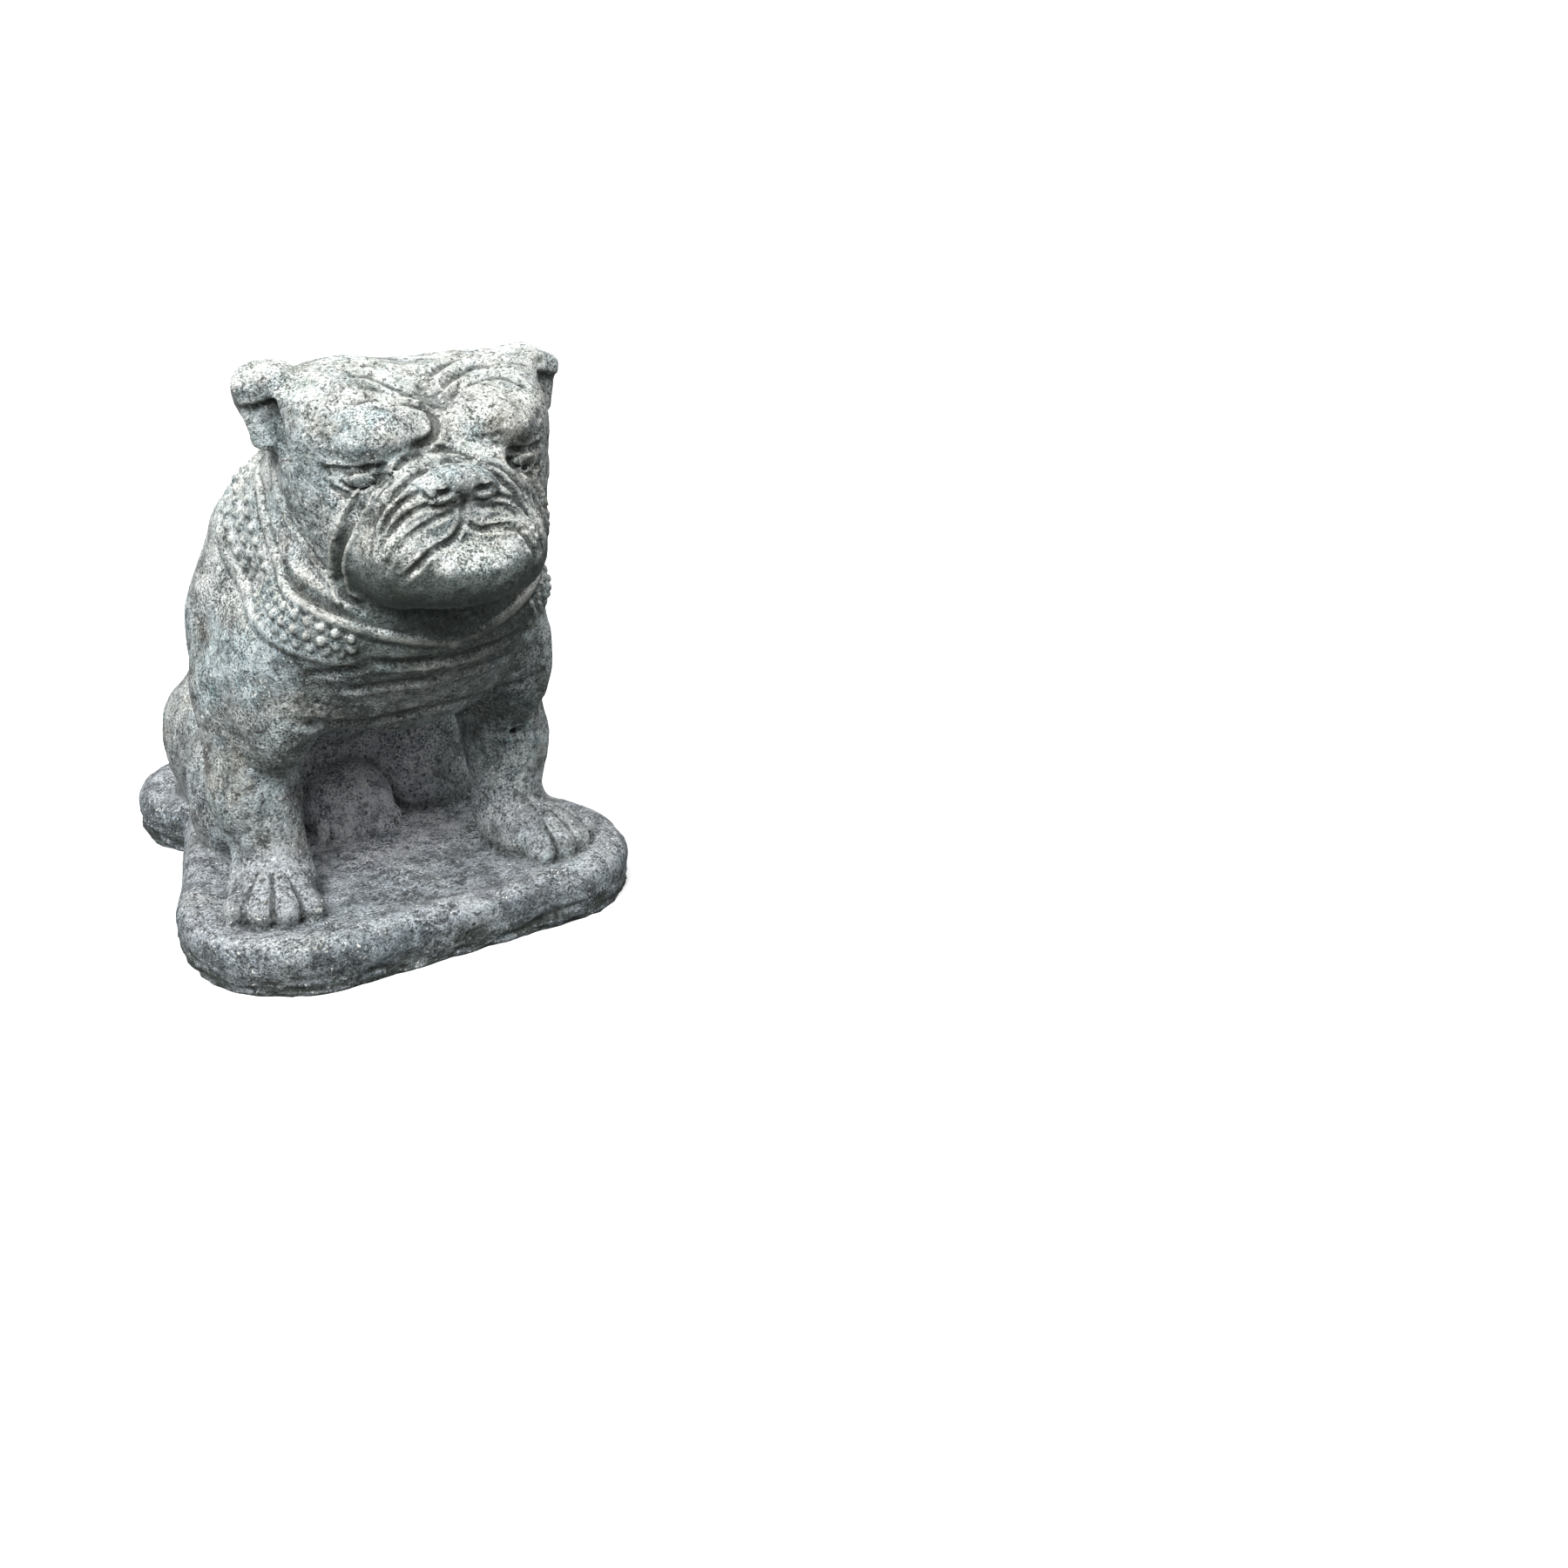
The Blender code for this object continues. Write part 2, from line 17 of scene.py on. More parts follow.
import bmesh
import bpy
import numpy as np
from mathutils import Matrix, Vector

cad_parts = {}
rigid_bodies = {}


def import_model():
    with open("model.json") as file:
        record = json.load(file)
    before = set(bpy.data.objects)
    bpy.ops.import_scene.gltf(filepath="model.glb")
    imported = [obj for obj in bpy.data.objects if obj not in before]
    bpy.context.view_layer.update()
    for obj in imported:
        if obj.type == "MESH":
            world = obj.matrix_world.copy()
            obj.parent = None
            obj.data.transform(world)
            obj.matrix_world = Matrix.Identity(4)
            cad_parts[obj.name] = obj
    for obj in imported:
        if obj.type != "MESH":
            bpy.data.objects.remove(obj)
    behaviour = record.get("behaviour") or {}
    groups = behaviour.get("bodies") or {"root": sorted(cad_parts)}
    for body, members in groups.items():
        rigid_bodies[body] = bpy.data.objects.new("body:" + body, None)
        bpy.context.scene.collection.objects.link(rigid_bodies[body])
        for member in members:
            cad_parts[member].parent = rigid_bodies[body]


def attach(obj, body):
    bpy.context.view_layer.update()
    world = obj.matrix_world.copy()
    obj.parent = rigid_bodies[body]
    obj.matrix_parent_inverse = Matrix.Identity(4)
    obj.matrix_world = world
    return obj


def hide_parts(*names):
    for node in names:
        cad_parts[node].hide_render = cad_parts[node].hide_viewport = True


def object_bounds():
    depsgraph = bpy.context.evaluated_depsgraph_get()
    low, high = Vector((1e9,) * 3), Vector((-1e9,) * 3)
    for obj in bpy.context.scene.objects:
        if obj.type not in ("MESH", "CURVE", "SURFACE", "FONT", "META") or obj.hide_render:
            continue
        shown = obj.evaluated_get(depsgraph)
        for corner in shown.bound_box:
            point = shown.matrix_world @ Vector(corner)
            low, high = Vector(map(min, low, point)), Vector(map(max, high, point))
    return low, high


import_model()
solid_box = np.array(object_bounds())
print("solid model from", solid_box[0].round(4), "to", solid_box[1].round(4))

# %% [markdown]
# ## The camera
#
# The statue is seen from above and from its right, through a lens of about 46 mm. A camera can be
# placed by eye, but this one's place and turn were worked out from points of the photograph, so
# that a render can be laid over it. Its place is measured from the same point as the carving.

# %% A camera where the photograph's stood
FOCAL_LENGTH = 45.52
CAMERA_PLACE = (-0.5429, -1.3290, 0.6418)
CAMERA_PITCH = 22.56
CAMERA_YAW = 35.75


def add_camera(shift):
    """Adds the camera and makes it the scene's, moved by the same shift as the statue."""
    data = bpy.data.cameras.new("camera")
    data.lens = FOCAL_LENGTH
    data.sensor_width = 36
    data.clip_start = 0.01
    camera = bpy.data.objects.new("camera", data)
    camera.location = np.array(CAMERA_PLACE) + shift
    camera.rotation_euler = (math.radians(90 - CAMERA_PITCH), 0, -math.radians(CAMERA_YAW))
    bpy.context.scene.collection.objects.link(camera)
    bpy.context.scene.camera = camera

# %% [markdown]
# ## Lamp, floor and sky
#
# The statue stood out of doors under a bright even sky, and its background is now plain white.
# Several lamps could copy that light. A sky that brightens upwards does it with one ramp, and it
# leaves undersides dark, as they are out of doors. One soft lamp gives the folds their edges.
# The floor glows a little to look white, and is hidden from diffuse rays so that it doesn't
# light the statue from below.

# %% A soft lamp
def add_light(name, energy, size, place, aim=(0, 0, 0.2)):
    """A square lamp at a place, turned to look at the aim."""
    data = bpy.data.lights.new(name, "AREA")
    data.energy = energy
    data.size = size
    light = bpy.data.objects.new(name, data)
    light.location = place
    away = np.array(place) - np.array(aim)
    flat = math.hypot(away[0], away[1])
    light.rotation_euler = (math.atan2(flat, away[2]), 0, math.atan2(away[0], -away[1]))
    bpy.context.scene.collection.objects.link(light)

# %% A pale floor
FLOOR_GREY = 0.8
FLOOR_GLOW = 0.3


def add_floor():
    """A pale level sheet, wide enough to fill the picture."""
    bm = bmesh.new()
    bmesh.ops.create_grid(bm, x_segments=1, y_segments=1, size=60)
    mesh = bpy.data.meshes.new("floor")
    bm.to_mesh(mesh)
    bm.free()
    floor = bpy.data.objects.new("floor", mesh)
    bpy.context.scene.collection.objects.link(floor)
    material = bpy.data.materials.new("floor")
    material.use_nodes = True
    shader = material.node_tree.nodes["Principled BSDF"]
    shader.inputs["Base Color"].default_value = (FLOOR_GREY, FLOOR_GREY, FLOOR_GREY, 1)
    shader.inputs["Roughness"].default_value = 1
    shader.inputs["Specular IOR Level"].default_value = 0
    shader.inputs["Emission Color"].default_value = (1, 1, 1, 1)
    shader.inputs["Emission Strength"].default_value = FLOOR_GLOW
    mesh.materials.append(material)
    floor.visible_diffuse = False

# %% A sky that brightens upwards
# Each pair is a share of the way from straight down to straight up, and a brightness
SKY = ((0.0, 0.06), (0.47, 0.09), (0.60, 0.40), (1.0, 1.9))


def add_world():
    """A sky whose brightness is a ramp over the height of the direction looked in, -1 to 1."""
    world = bpy.data.worlds.new("sky")
    world.use_nodes = True
    tree = world.node_tree
    place = tree.nodes.new("ShaderNodeTexCoord")
    split = tree.nodes.new("ShaderNodeSeparateXYZ")
    height = tree.nodes.new("ShaderNodeMapRange")
    ramp = tree.nodes.new("ShaderNodeValToRGB")
    height.inputs["From Min"].default_value = -1
    tree.links.new(place.outputs["Generated"], split.inputs["Vector"])
    tree.links.new(split.outputs["Z"], height.inputs["Value"])
    tree.links.new(height.outputs["Result"], ramp.inputs["Fac"])
    while len(ramp.color_ramp.elements) < len(SKY):
        ramp.color_ramp.elements.new(0.5)
    for element, (position, bright) in zip(ramp.color_ramp.elements, SKY):
        element.position = position
        element.color = (bright, bright, bright, 1)
    tree.links.new(ramp.outputs["Color"], tree.nodes["Background"].inputs["Color"])
    bpy.context.scene.world = world

# %% [markdown]
# ## Sizes
#
# These are the statue's named sizes, the same as the solid's. Everything below is worked out from
# them, so a new height or base changes the whole figure. A finer grid would hold finer folds but
# take longer.

# %% The statue's sizes
FIGURE_HEIGHT = 0.373
BASE_WIDTH = 0.332
BASE_LENGTH = 0.398
BASE_THICKNESS = 0.037
BASE_FRONT = 0.198
REAR_LOBE_WIDTH = 0.228
WAIST_WIDTH = 0.220
WAIST_FROM_FRONT = 0.250
TAPER_FROM_FRONT = 0.108
FRONT_CORNER_RADIUS = 0.082
REAR_CORNER_RADIUS = 0.070
RIM_HEIGHT = 0.005

# %% The carving's step, grid and turns
# The carving is measured in 373rds of the figure's height, about a millimetre each
STEP = FIGURE_HEIGHT / 373

# One cell of the grid, and the triangles that the finished mesh is thinned to
CELL = 0.0017
TRIANGLES = 185000

# The head is turned a little to the dog's right about the point between its ears
HEAD_TURN = math.radians(6)
HEAD_CENTRE = np.array([5.5, -153.0, 0.0])

# The dog's left shoulder and foreleg stand this many steps ahead of its right ones
LEFT_AHEAD = 13
print(f"one step is {STEP * 1000:.2f} mm and one cell is {CELL * 1000:.1f} mm")

# %% [markdown]
# ## Clay
#
# A cast animal has no seams: one mass runs into the next. Spheres could be piled up and remeshed,
# but then every join is a sharp crease. Here each corner of a grid holds a number that is negative
# inside the stone and grows with the distance from its skin. To join two shapes, the smaller of
# their numbers is taken, with the corner between them rounded off.

# %% Rounded joins and turned axes
def smooth_min(a, b, k):
    """The smaller of a and b, less k h^2 / 4, where h = 1 - |a - b| / k and is never below 0."""
    h = np.maximum(k - np.abs(a - b), 0) / k
    return np.minimum(a, b) - h * h * k / 4


def smooth_max(a, b, k):
    """The larger of a and b with its corner filled: the smaller of -a and -b, turned over."""
    return -smooth_min(-a, -b, k)


def turned(x, y, angle):
    """The coordinates x, y seen from axes turned by the angle: (cx + sy, cy - sx)."""
    c, s = math.cos(angle), math.sin(angle)
    return c * x + s * y, c * y - s * x

# %% The block that everything is carved in
# What a corner holds while no shape is near it
EMPTY = 60.0


class Clay:
    """A grid of corners that hold the field, in steps, with z = 0 at the top of the base."""

    def __init__(self, low, high, cell):
        self.low = np.array(low, float)
        self.cell = cell
        self.size = np.ceil((np.array(high) - self.low) / cell).astype(int) + 1
        self.field = np.full(self.size, EMPTY, np.float32)

    def window(self, centre, reach):
        """The cells within reach of a centre, and the coordinates of their corners."""
        first = np.floor((np.array(centre) - reach - self.low) / self.cell).astype(int)
        last = np.ceil((np.array(centre) + reach - self.low) / self.cell).astype(int) + 1
        first = np.clip(first, 0, self.size - 1)
        last = np.clip(last, 1, self.size)
        part = tuple(slice(a, b) for a, b in zip(first, last))
        axes = [
            (self.low[i] + self.cell * np.arange(first[i], last[i])).astype(np.float32)
            for i in range(3)
        ]
        return part, np.ix_(*axes)

    def join(self, centre, reach, shape, blend):
        """Adds a shape: the rounded smaller of its field and the clay's."""
        part, (x, y, z) = self.window(centre, np.array(reach) + blend + 2 * self.cell)
        self.field[part] = smooth_min(self.field[part], shape(x, y, z), blend)

    def cut(self, centre, reach, shape, blend):
        """Takes a shape away: the rounded larger of the clay's field and minus the shape's."""
        part, (x, y, z) = self.window(centre, np.array(reach) + blend + 2 * self.cell)
        self.field[part] = smooth_max(self.field[part], -shape(x, y, z), blend)

    def sample(self, points):
        """The field at points, read between the corners of their cells."""
        at = (points - self.low) / self.cell
        first = np.clip(np.floor(at).astype(int), 0, self.size - 2)
        part = at - first
        total = 0
        for i, j, k in np.ndindex(2, 2, 2):
            corner = first + (i, j, k)
            share = np.prod(np.where((i, j, k), part, 1 - part), axis=1)
            total = total + share * self.field[tuple(corner.T)]
        return total

    def lay(self, points):
        """Moves points onto the skin: against the slope, by the field over the slope's square."""
        points = np.array(points, float)
        for _ in range(4):
            slope = np.stack(
                [self.sample(points + e) - self.sample(points - e) for e in 2 * np.eye(3)], 1
            ) / 4
            here = self.sample(points)[:, None]
            points = points - here * slope / np.maximum((slope**2).sum(1), 0.2)[:, None]
        return points

    def relief(self, centre, reach, height):
        """Raises the skin by height(x, y, z), a figure of a few steps."""
        part, (x, y, z) = self.window(centre, reach)
        self.field[part] -= height(x, y, z).astype(np.float32)

    def litres(self):
        """The volume inside the skin: each corner inside it stands for one cell."""
        return np.count_nonzero(self.field < 0) * (self.cell * STEP) ** 3 * 1000


def block_of_clay(cell):
    """Clay with room for the figure and for the base, whichever reaches further."""
    side = max(168, BASE_WIDTH / 2 / STEP) + 22
    back = max(200, (BASE_LENGTH - BASE_FRONT) / STEP) + 30
    front = max(256, BASE_FRONT / STEP) + 28
    low = (-side, -front, -BASE_THICKNESS / STEP - 18)
    return Clay(low, (side, back, 395), cell / STEP)


clay = block_of_clay(CELL)
print("grid of", " x ".join(str(n) for n in clay.size), "corners")

# %% Rounded shapes
def ellipsoid(centre, radii, yaw=0.0, pitch=0.0, roll=0.0):
    """A rounded mass. Its field is n (n - 1) / g, where n is the distance from the centre in
    radii and g is how steeply n grows. Yaw turns it about Z, pitch lifts its -Y end, roll tips
    its top to +X."""
    yaw, pitch, roll = (math.radians(a) for a in (yaw, pitch, roll))

    def shape(x, y, z):
        u, v = turned(x - centre[0], y - centre[1], yaw)
        v, w = turned(v, z - centre[2], -pitch)
        w, u = turned(w, u, roll)
        near = np.sqrt((u / radii[0]) ** 2 + (v / radii[1]) ** 2 + (w / radii[2]) ** 2)
        steep = np.sqrt(
            (u / radii[0] ** 2) ** 2 + (v / radii[1] ** 2) ** 2 + (w / radii[2] ** 2) ** 2
        )
        return near * (near - 1) / np.maximum(steep, 1e-4)

    return shape


def block(centre, half, radius, yaw=0.0, pitch=0.0, roll=0.0):
    """A box with rounded edges, turned as an ellipsoid is. Its field is the distance outside a
    box smaller by the radius on every side, less the radius."""
    yaw, pitch, roll = (math.radians(a) for a in (yaw, pitch, roll))

    def shape(x, y, z):
        u, v = turned(x - centre[0], y - centre[1], yaw)
        v, w = turned(v, z - centre[2], -pitch)
        w, u = turned(w, u, roll)
        q = [np.abs(a) - b + radius for a, b in zip((u, v, w), half)]
        outside = np.sqrt(sum(np.maximum(a, 0) ** 2 for a in q))
        return outside + np.minimum(np.maximum(np.maximum(q[0], q[1]), q[2]), 0) - radius

    return shape


def limb(start, end, r0, r1):
    """A round bar that tapers from r0 to r1. Its field is the distance from the nearest point of
    the axis, less the radius there."""
    start, end = np.array(start, float), np.array(end, float)
    along = end - start

    def shape(x, y, z):
        p = (x - start[0], y - start[1], z - start[2])
        t = sum(p[i] * along[i] for i in range(3)) / (along @ along)
        t = np.clip(t, 0, 1)
        away = sum((p[i] - t * along[i]) ** 2 for i in range(3))
        return np.sqrt(away) - (r0 + t * (r1 - r0))

    return shape


def mass(clay, centre, radii, blend, yaw=0.0, pitch=0.0, roll=0.0):
    """Blends an ellipsoid into the clay."""
    clay.join(centre, max(radii), ellipsoid(centre, radii, yaw, pitch, roll), blend)


def bar(clay, points, radii, blend):
    """Blends a chain of tapering limbs into the clay."""
    for a, b, r0, r1 in zip(points, points[1:], radii, radii[1:]):
        centre = (np.array(a) + np.array(b)) / 2
        reach = np.abs(np.array(a) - np.array(b)) / 2 + max(r0, r1)
        clay.join(centre, reach, limb(a, b, r0, r1), blend)

# %% [markdown]
# ## The body
#
# The dog has a deep chest hung between its shoulders, a raised belly, and haunches folded beside
# the hind paws. Muscle forms like these are large and soft, so each is one rounded mass, and a
# wide blend makes the skin run over from one to the next.

# %% Chest, shoulders, back and haunches
def add_body(clay):
    """Chest, shoulders, back and haunches, each a rounded mass, with the lower thighs as bars."""
    # Trunk, chest, rump and seat
    mass(clay, (0, -34, 170), (95, 82, 80), 20)
    mass(clay, (0, -112, 166), (90, 66, 56), 30)
    mass(clay, (-5, 70, 98), (73, 87, 82), 40)
    mass(clay, (-5, 88, 22), (72, 78, 40), 24)
    # Neck, back, breast and nape, then the fuller right shoulder
    mass(clay, (0, -114, 238), (86, 76, 84), 40, pitch=42)
    mass(clay, (0, 20, 180), (66, 84, 58), 40, pitch=34)
    mass(clay, (0, -150, 208), (95, 57, 44), 34)
    mass(clay, (0, -78, 262), (84, 60, 56), 30)
    mass(clay, (-32, -44, 236), (63, 58, 50), 24)
    for s in (-1, 1):
        ahead = LEFT_AHEAD if s > 0 else 0
        # Haunch and lower thigh
        mass(clay, (s * 61 - 7, 66, 53), (37, 60, 54), 14, yaw=-8 * s)
        thigh = [(s * 60 - 6, 118, 8), (s * 64 - 6, 50, 8), (s * 79 - 2, 10, 14)]
        bar(clay, thigh, [24, 24, 32], 12)
        # Shoulder blade and upper arm
        mass(clay, (s * 81, -40 - ahead, 158), (35, 48, 70), 24, roll=6 * s)
        mass(clay, (s * 88, -102 - ahead / 2, 150), (28, 46, 58), 24)
        # The knee's inner and outer side
        mass(clay, (s * 60 - 3, 12, 50), (32, 34, 52), 12)
        mass(clay, (s * 80 - 2, 12, 45), (32, 31, 46), 14)


add_body(clay)
print(f"with the body: {clay.litres():.1f} litres")

# %% [markdown]
# ## Legs and paws
#
# The forelegs stand like posts on broad paws, and the hind paws are pressed together between
# them. A leg is a bar whose radius changes along its bends. Toes are small masses set on an arc,
# with a narrow blend, so that they stay separate from each other.

# %% Forelegs
# The toes stand on an arc of this radius in steps, this many degrees apart
TOE_ARC = 42
TOE_SPREAD = 22


def add_front_legs(clay):
    """Each leg is a bar bent at the knee, and its four toes stand on an arc about the paw. The
    dog's left paw is set a little nearer the middle and further forward than its right."""
    for s in (-1, 1):
        dx, dy = (0, 0) if s < 0 else (-6, -LEFT_AHEAD)
        knee = (s * 97 + dx / 2, -76 + dy, 70)
        bar(clay, [(s * 92, -62 + dy, 140), knee, (s * 93 + dx, -86 + dy, 22)], [35, 28, 26], 18)
        mass(clay, (s * 102 + dx, -104 + dy, 7), (31, 39, 22), 12, yaw=30 * s)
        for i in range(4):
            a = math.radians(s * (58 - TOE_SPREAD * i))
            x = s * 96 + dx + TOE_ARC * math.sin(a)
            y = -98 + dy - TOE_ARC * math.cos(a)
            mass(clay, (x, y, 5), (10, 15, 12), 4, yaw=math.degrees(a))


add_front_legs(clay)

# %% Hind paws
def add_hind_paws(clay):
    """Two bars lead from the hocks to paws that meet on the midline, each with four small toes."""
    for s in (-1, 1):
        bar(clay, [(s * 58, 56, 48), (s * 30, 44, 22), (s * 15, 16, 12)], [28, 22, 19], 10)
        mass(clay, (s * 16, 0, 8), (17, 34, 24), 6)
        for i in range(4):
            toe = (s * (4 + 8 * i), -29 + 2.2 * (i - 1.2) ** 2, 1)
            mass(clay, toe, (5, 9, 10), 3, yaw=s * (10 * i - 12))


def add_paw_dome(clay):
    """The two hind paws read as one dome, so a broad mass covers them."""
    mass(clay, (0, -3, 14), (33, 34, 29), 6)


add_hind_paws(clay)
add_paw_dome(clay)
print(f"with the legs: {clay.litres():.1f} litres")

# %% [markdown]
# ## The head
#
# A bulldog's head is a broad flat box with heavy flews, overhanging brows and a short nose. The
# head is turned on the body, so its masses are placed in the head's own axes and turned with it.
# The finer shapes are those that the coarse solid leaves out: the standing nose, the brows' outer
# ends, and the flat inner face of each folded ear, which is cut back under its top lobe.

# %% The head's own axes and main masses
def head_point(x, y, z):
    """A point given in the head's own axes, turned by HEAD_TURN and set at HEAD_CENTRE."""
    u, v = turned(x, y, HEAD_TURN)
    return np.array([u + HEAD_CENTRE[0], v + HEAD_CENTRE[1], z])


def add_head(clay):
    """A rounded slab for the skull, masses for cheeks, brows, flews and chin, and hollows for the
    eyes and nostrils. Every place is in the head's own axes."""
    def turns(yaw=0.0, pitch=0.0, roll=0.0):
        return yaw - math.degrees(HEAD_TURN), pitch, roll

    def lump(x, y, z, radii, blend, *angles):
        mass(clay, head_point(x, y, z), radii, blend, *turns(*angles))

    def hollow(x, y, z, radii, blend, *angles):
        centre = head_point(x, y, z)
        clay.cut(centre, max(radii), ellipsoid(centre, radii, *turns(*angles)), blend)

    def slab(x, y, z, half, radius, blend, *angles):
        centre = head_point(x, y, z)
        clay.join(centre, math.hypot(*half), block(centre, half, radius, *turns(*angles)), blend)


    # Skull, crown, the fuller right side of the crown, and jowls
    slab(0, 14, 310, (83, 64, 48), 38, 20, 0, -3)
    slab(0, 18, 342, (86, 32, 20), 18, 14, 0, 0, -3)
    lump(-40, 10, 338, (44, 48, 34), 16)
    lump(0, -14, 296, (83, 53, 56), 18)
    # Cheeks, brows and folded ears
    for s in (-1, 1):
        lump(s * 42, -28, 266, (33, 42, 40), 14)
        lump(s * 37, -38, 332, (31, 31, 21), 7, 0, 0, 8 * s)
        slab(s * 85, 14, 346, (18, 18, 22 - 2 * s), 7, 6, 23 * s, 0, 14 * s)
        lump(s * 87, 22, 351 - 2 * s, (20, 20, 20), 6)
    # Muzzle, flews, eye sockets and eyeballs
    slab(0, -46, 285, (56, 40, 37), 30, 8)
    for s in (-1, 1):
        lump(s * 34, -60, 258, (29, 37, 32), 7)
        hollow(s * 56, -66, 311, (20, 13, 8), 5, 14 * s)
        lump(s * 53, -54, 311, (10, 8, 6), 1)
    # Nose, chin and nostrils
    lump(0, -80, 307, (20, 13, 10), 4)
    lump(0, -78, 248, (45, 26, 22), 7)
    for s in (-1, 1):
        hollow(s * 12, -92, 306, (4.5, 5, 3.5), 1)


add_head(clay)

# %% Nose, temples and ears
def add_nose(clay):
    """A broad flat nose with open nostrils, standing clear of the muzzle."""
    mass(clay, head_point(0, -83, 306), (19, 10, 11), 3, -math.degrees(HEAD_TURN))
    for s in (-1, 1):
        mass(clay, head_point(s * 15, -84, 303), (8, 9, 8), 3)
        nostril = head_point(s * 12, -94, 303)
        clay.cut(nostril, 8, ellipsoid(nostril, (5.5, 6, 4.5), 25 * s), 1)


def add_temples(clay):
    """Fills the hollow beyond each brow, so that its outer end runs into the side of the head."""
    for s in (-1, 1):
        mass(clay, head_point(s * 66, -12, 334), (20, 28, 24), 16, -math.degrees(HEAD_TURN))


def add_ear_faces(clay):
    """Cuts back the front of each ear with a thin block, so that its top lobe overhangs it."""
    for s in (-1, 1):
        centre = head_point(s * 99, -5, 330)
        turn = 23 * s - math.degrees(HEAD_TURN)
        clay.cut(centre, 30, block(centre, (17, 11, 21), 3, turn, 0, 14 * s), 2)


add_nose(clay)
add_temples(clay)
add_ear_faces(clay)
print(f"with the head: {clay.litres():.1f} litres")

# %% [markdown]
# ## Folds of the face
#
# The face is covered in loose skin that hangs in folds from the brows, the nose and the cheeks.
# A bump texture would show them from the front only, and leave the outline smooth. So each fold
# is a real groove with raised lips. Its curve is first laid on the skin and then pressed in.

# %% Curves, grooves and ridges
def curve(points, count=24):
    """Points along a smooth curve through the given ones: a cubic between each pair, whose slope
    at a point is half the step between that point's neighbours."""
    points = np.array(points, float)
    ends = np.vstack([2 * points[0] - points[1], points, 2 * points[-1] - points[-2]])
    t = np.linspace(0, len(points) - 1, count)
    i = np.minimum(t.astype(int), len(points) - 2)
    u = (t - i)[:, None]
    a, b, c, d = (ends[i + j] for j in range(4))
    bend = (2 * a - 5 * b + 4 * c - d) * u**2
    twist = (3 * (b - c) + d - a) * u**3
    return 0.5 * (2 * b + (c - a) * u + bend + twist)


def fold(clay, path, depth, width, lip=0.3):
    """Lowers the skin along a path by depth * exp(-a^2), where a is the distance from the path in
    widths, with a low lip at 1.9 widths. It fades at both ends. A negative depth raises a ridge."""
    width = max(width, 0.9 * clay.cell)
    centre = (path.min(0) + path.max(0)) / 2
    reach = (path.max(0) - path.min(0)) / 2 + 3 * width

    def height(x, y, z):
        best = np.full(np.broadcast_shapes(x.shape, y.shape, z.shape), 1e6, np.float32)
        along = np.zeros_like(best)
        for i, (a, b) in enumerate(zip(path, path[1:])):
            e = b - a
            t = ((x - a[0]) * e[0] + (y - a[1]) * e[1] + (z - a[2]) * e[2]) / (e @ e)
            t = np.clip(t, 0, 1)
            d = (x - a[0] - t * e[0]) ** 2 + (y - a[1] - t * e[1]) ** 2
            d = d + (z - a[2] - t * e[2]) ** 2
            closer = d < best
            best = np.where(closer, d, best)
            along = np.where(closer, (i + t) / (len(path) - 1), along)
        away = np.sqrt(best) / width
        ends = np.clip(np.minimum(along, 1 - along) * 6 + 0.25, 0, 1)
        groove = np.exp(-(away**2)) - lip * np.exp(-2 * (away - 1.9) ** 2)
        return -depth * ends * groove * np.clip(3 - away, 0, 1)

    clay.relief(centre, reach, height)


def press(clay, curves):
    """Folds the skin along curves, each with a depth and a width. All are laid on it before any
    is cut, so that no curve falls into the groove of another."""
    laid = [(clay.lay(curve(points)), depth, width) for points, depth, width in curves]
    for path, depth, width in laid:
        path[1:-1] = (path[:-2] + 2 * path[1:-1] + path[2:]) / 4
        fold(clay, path, depth, width)

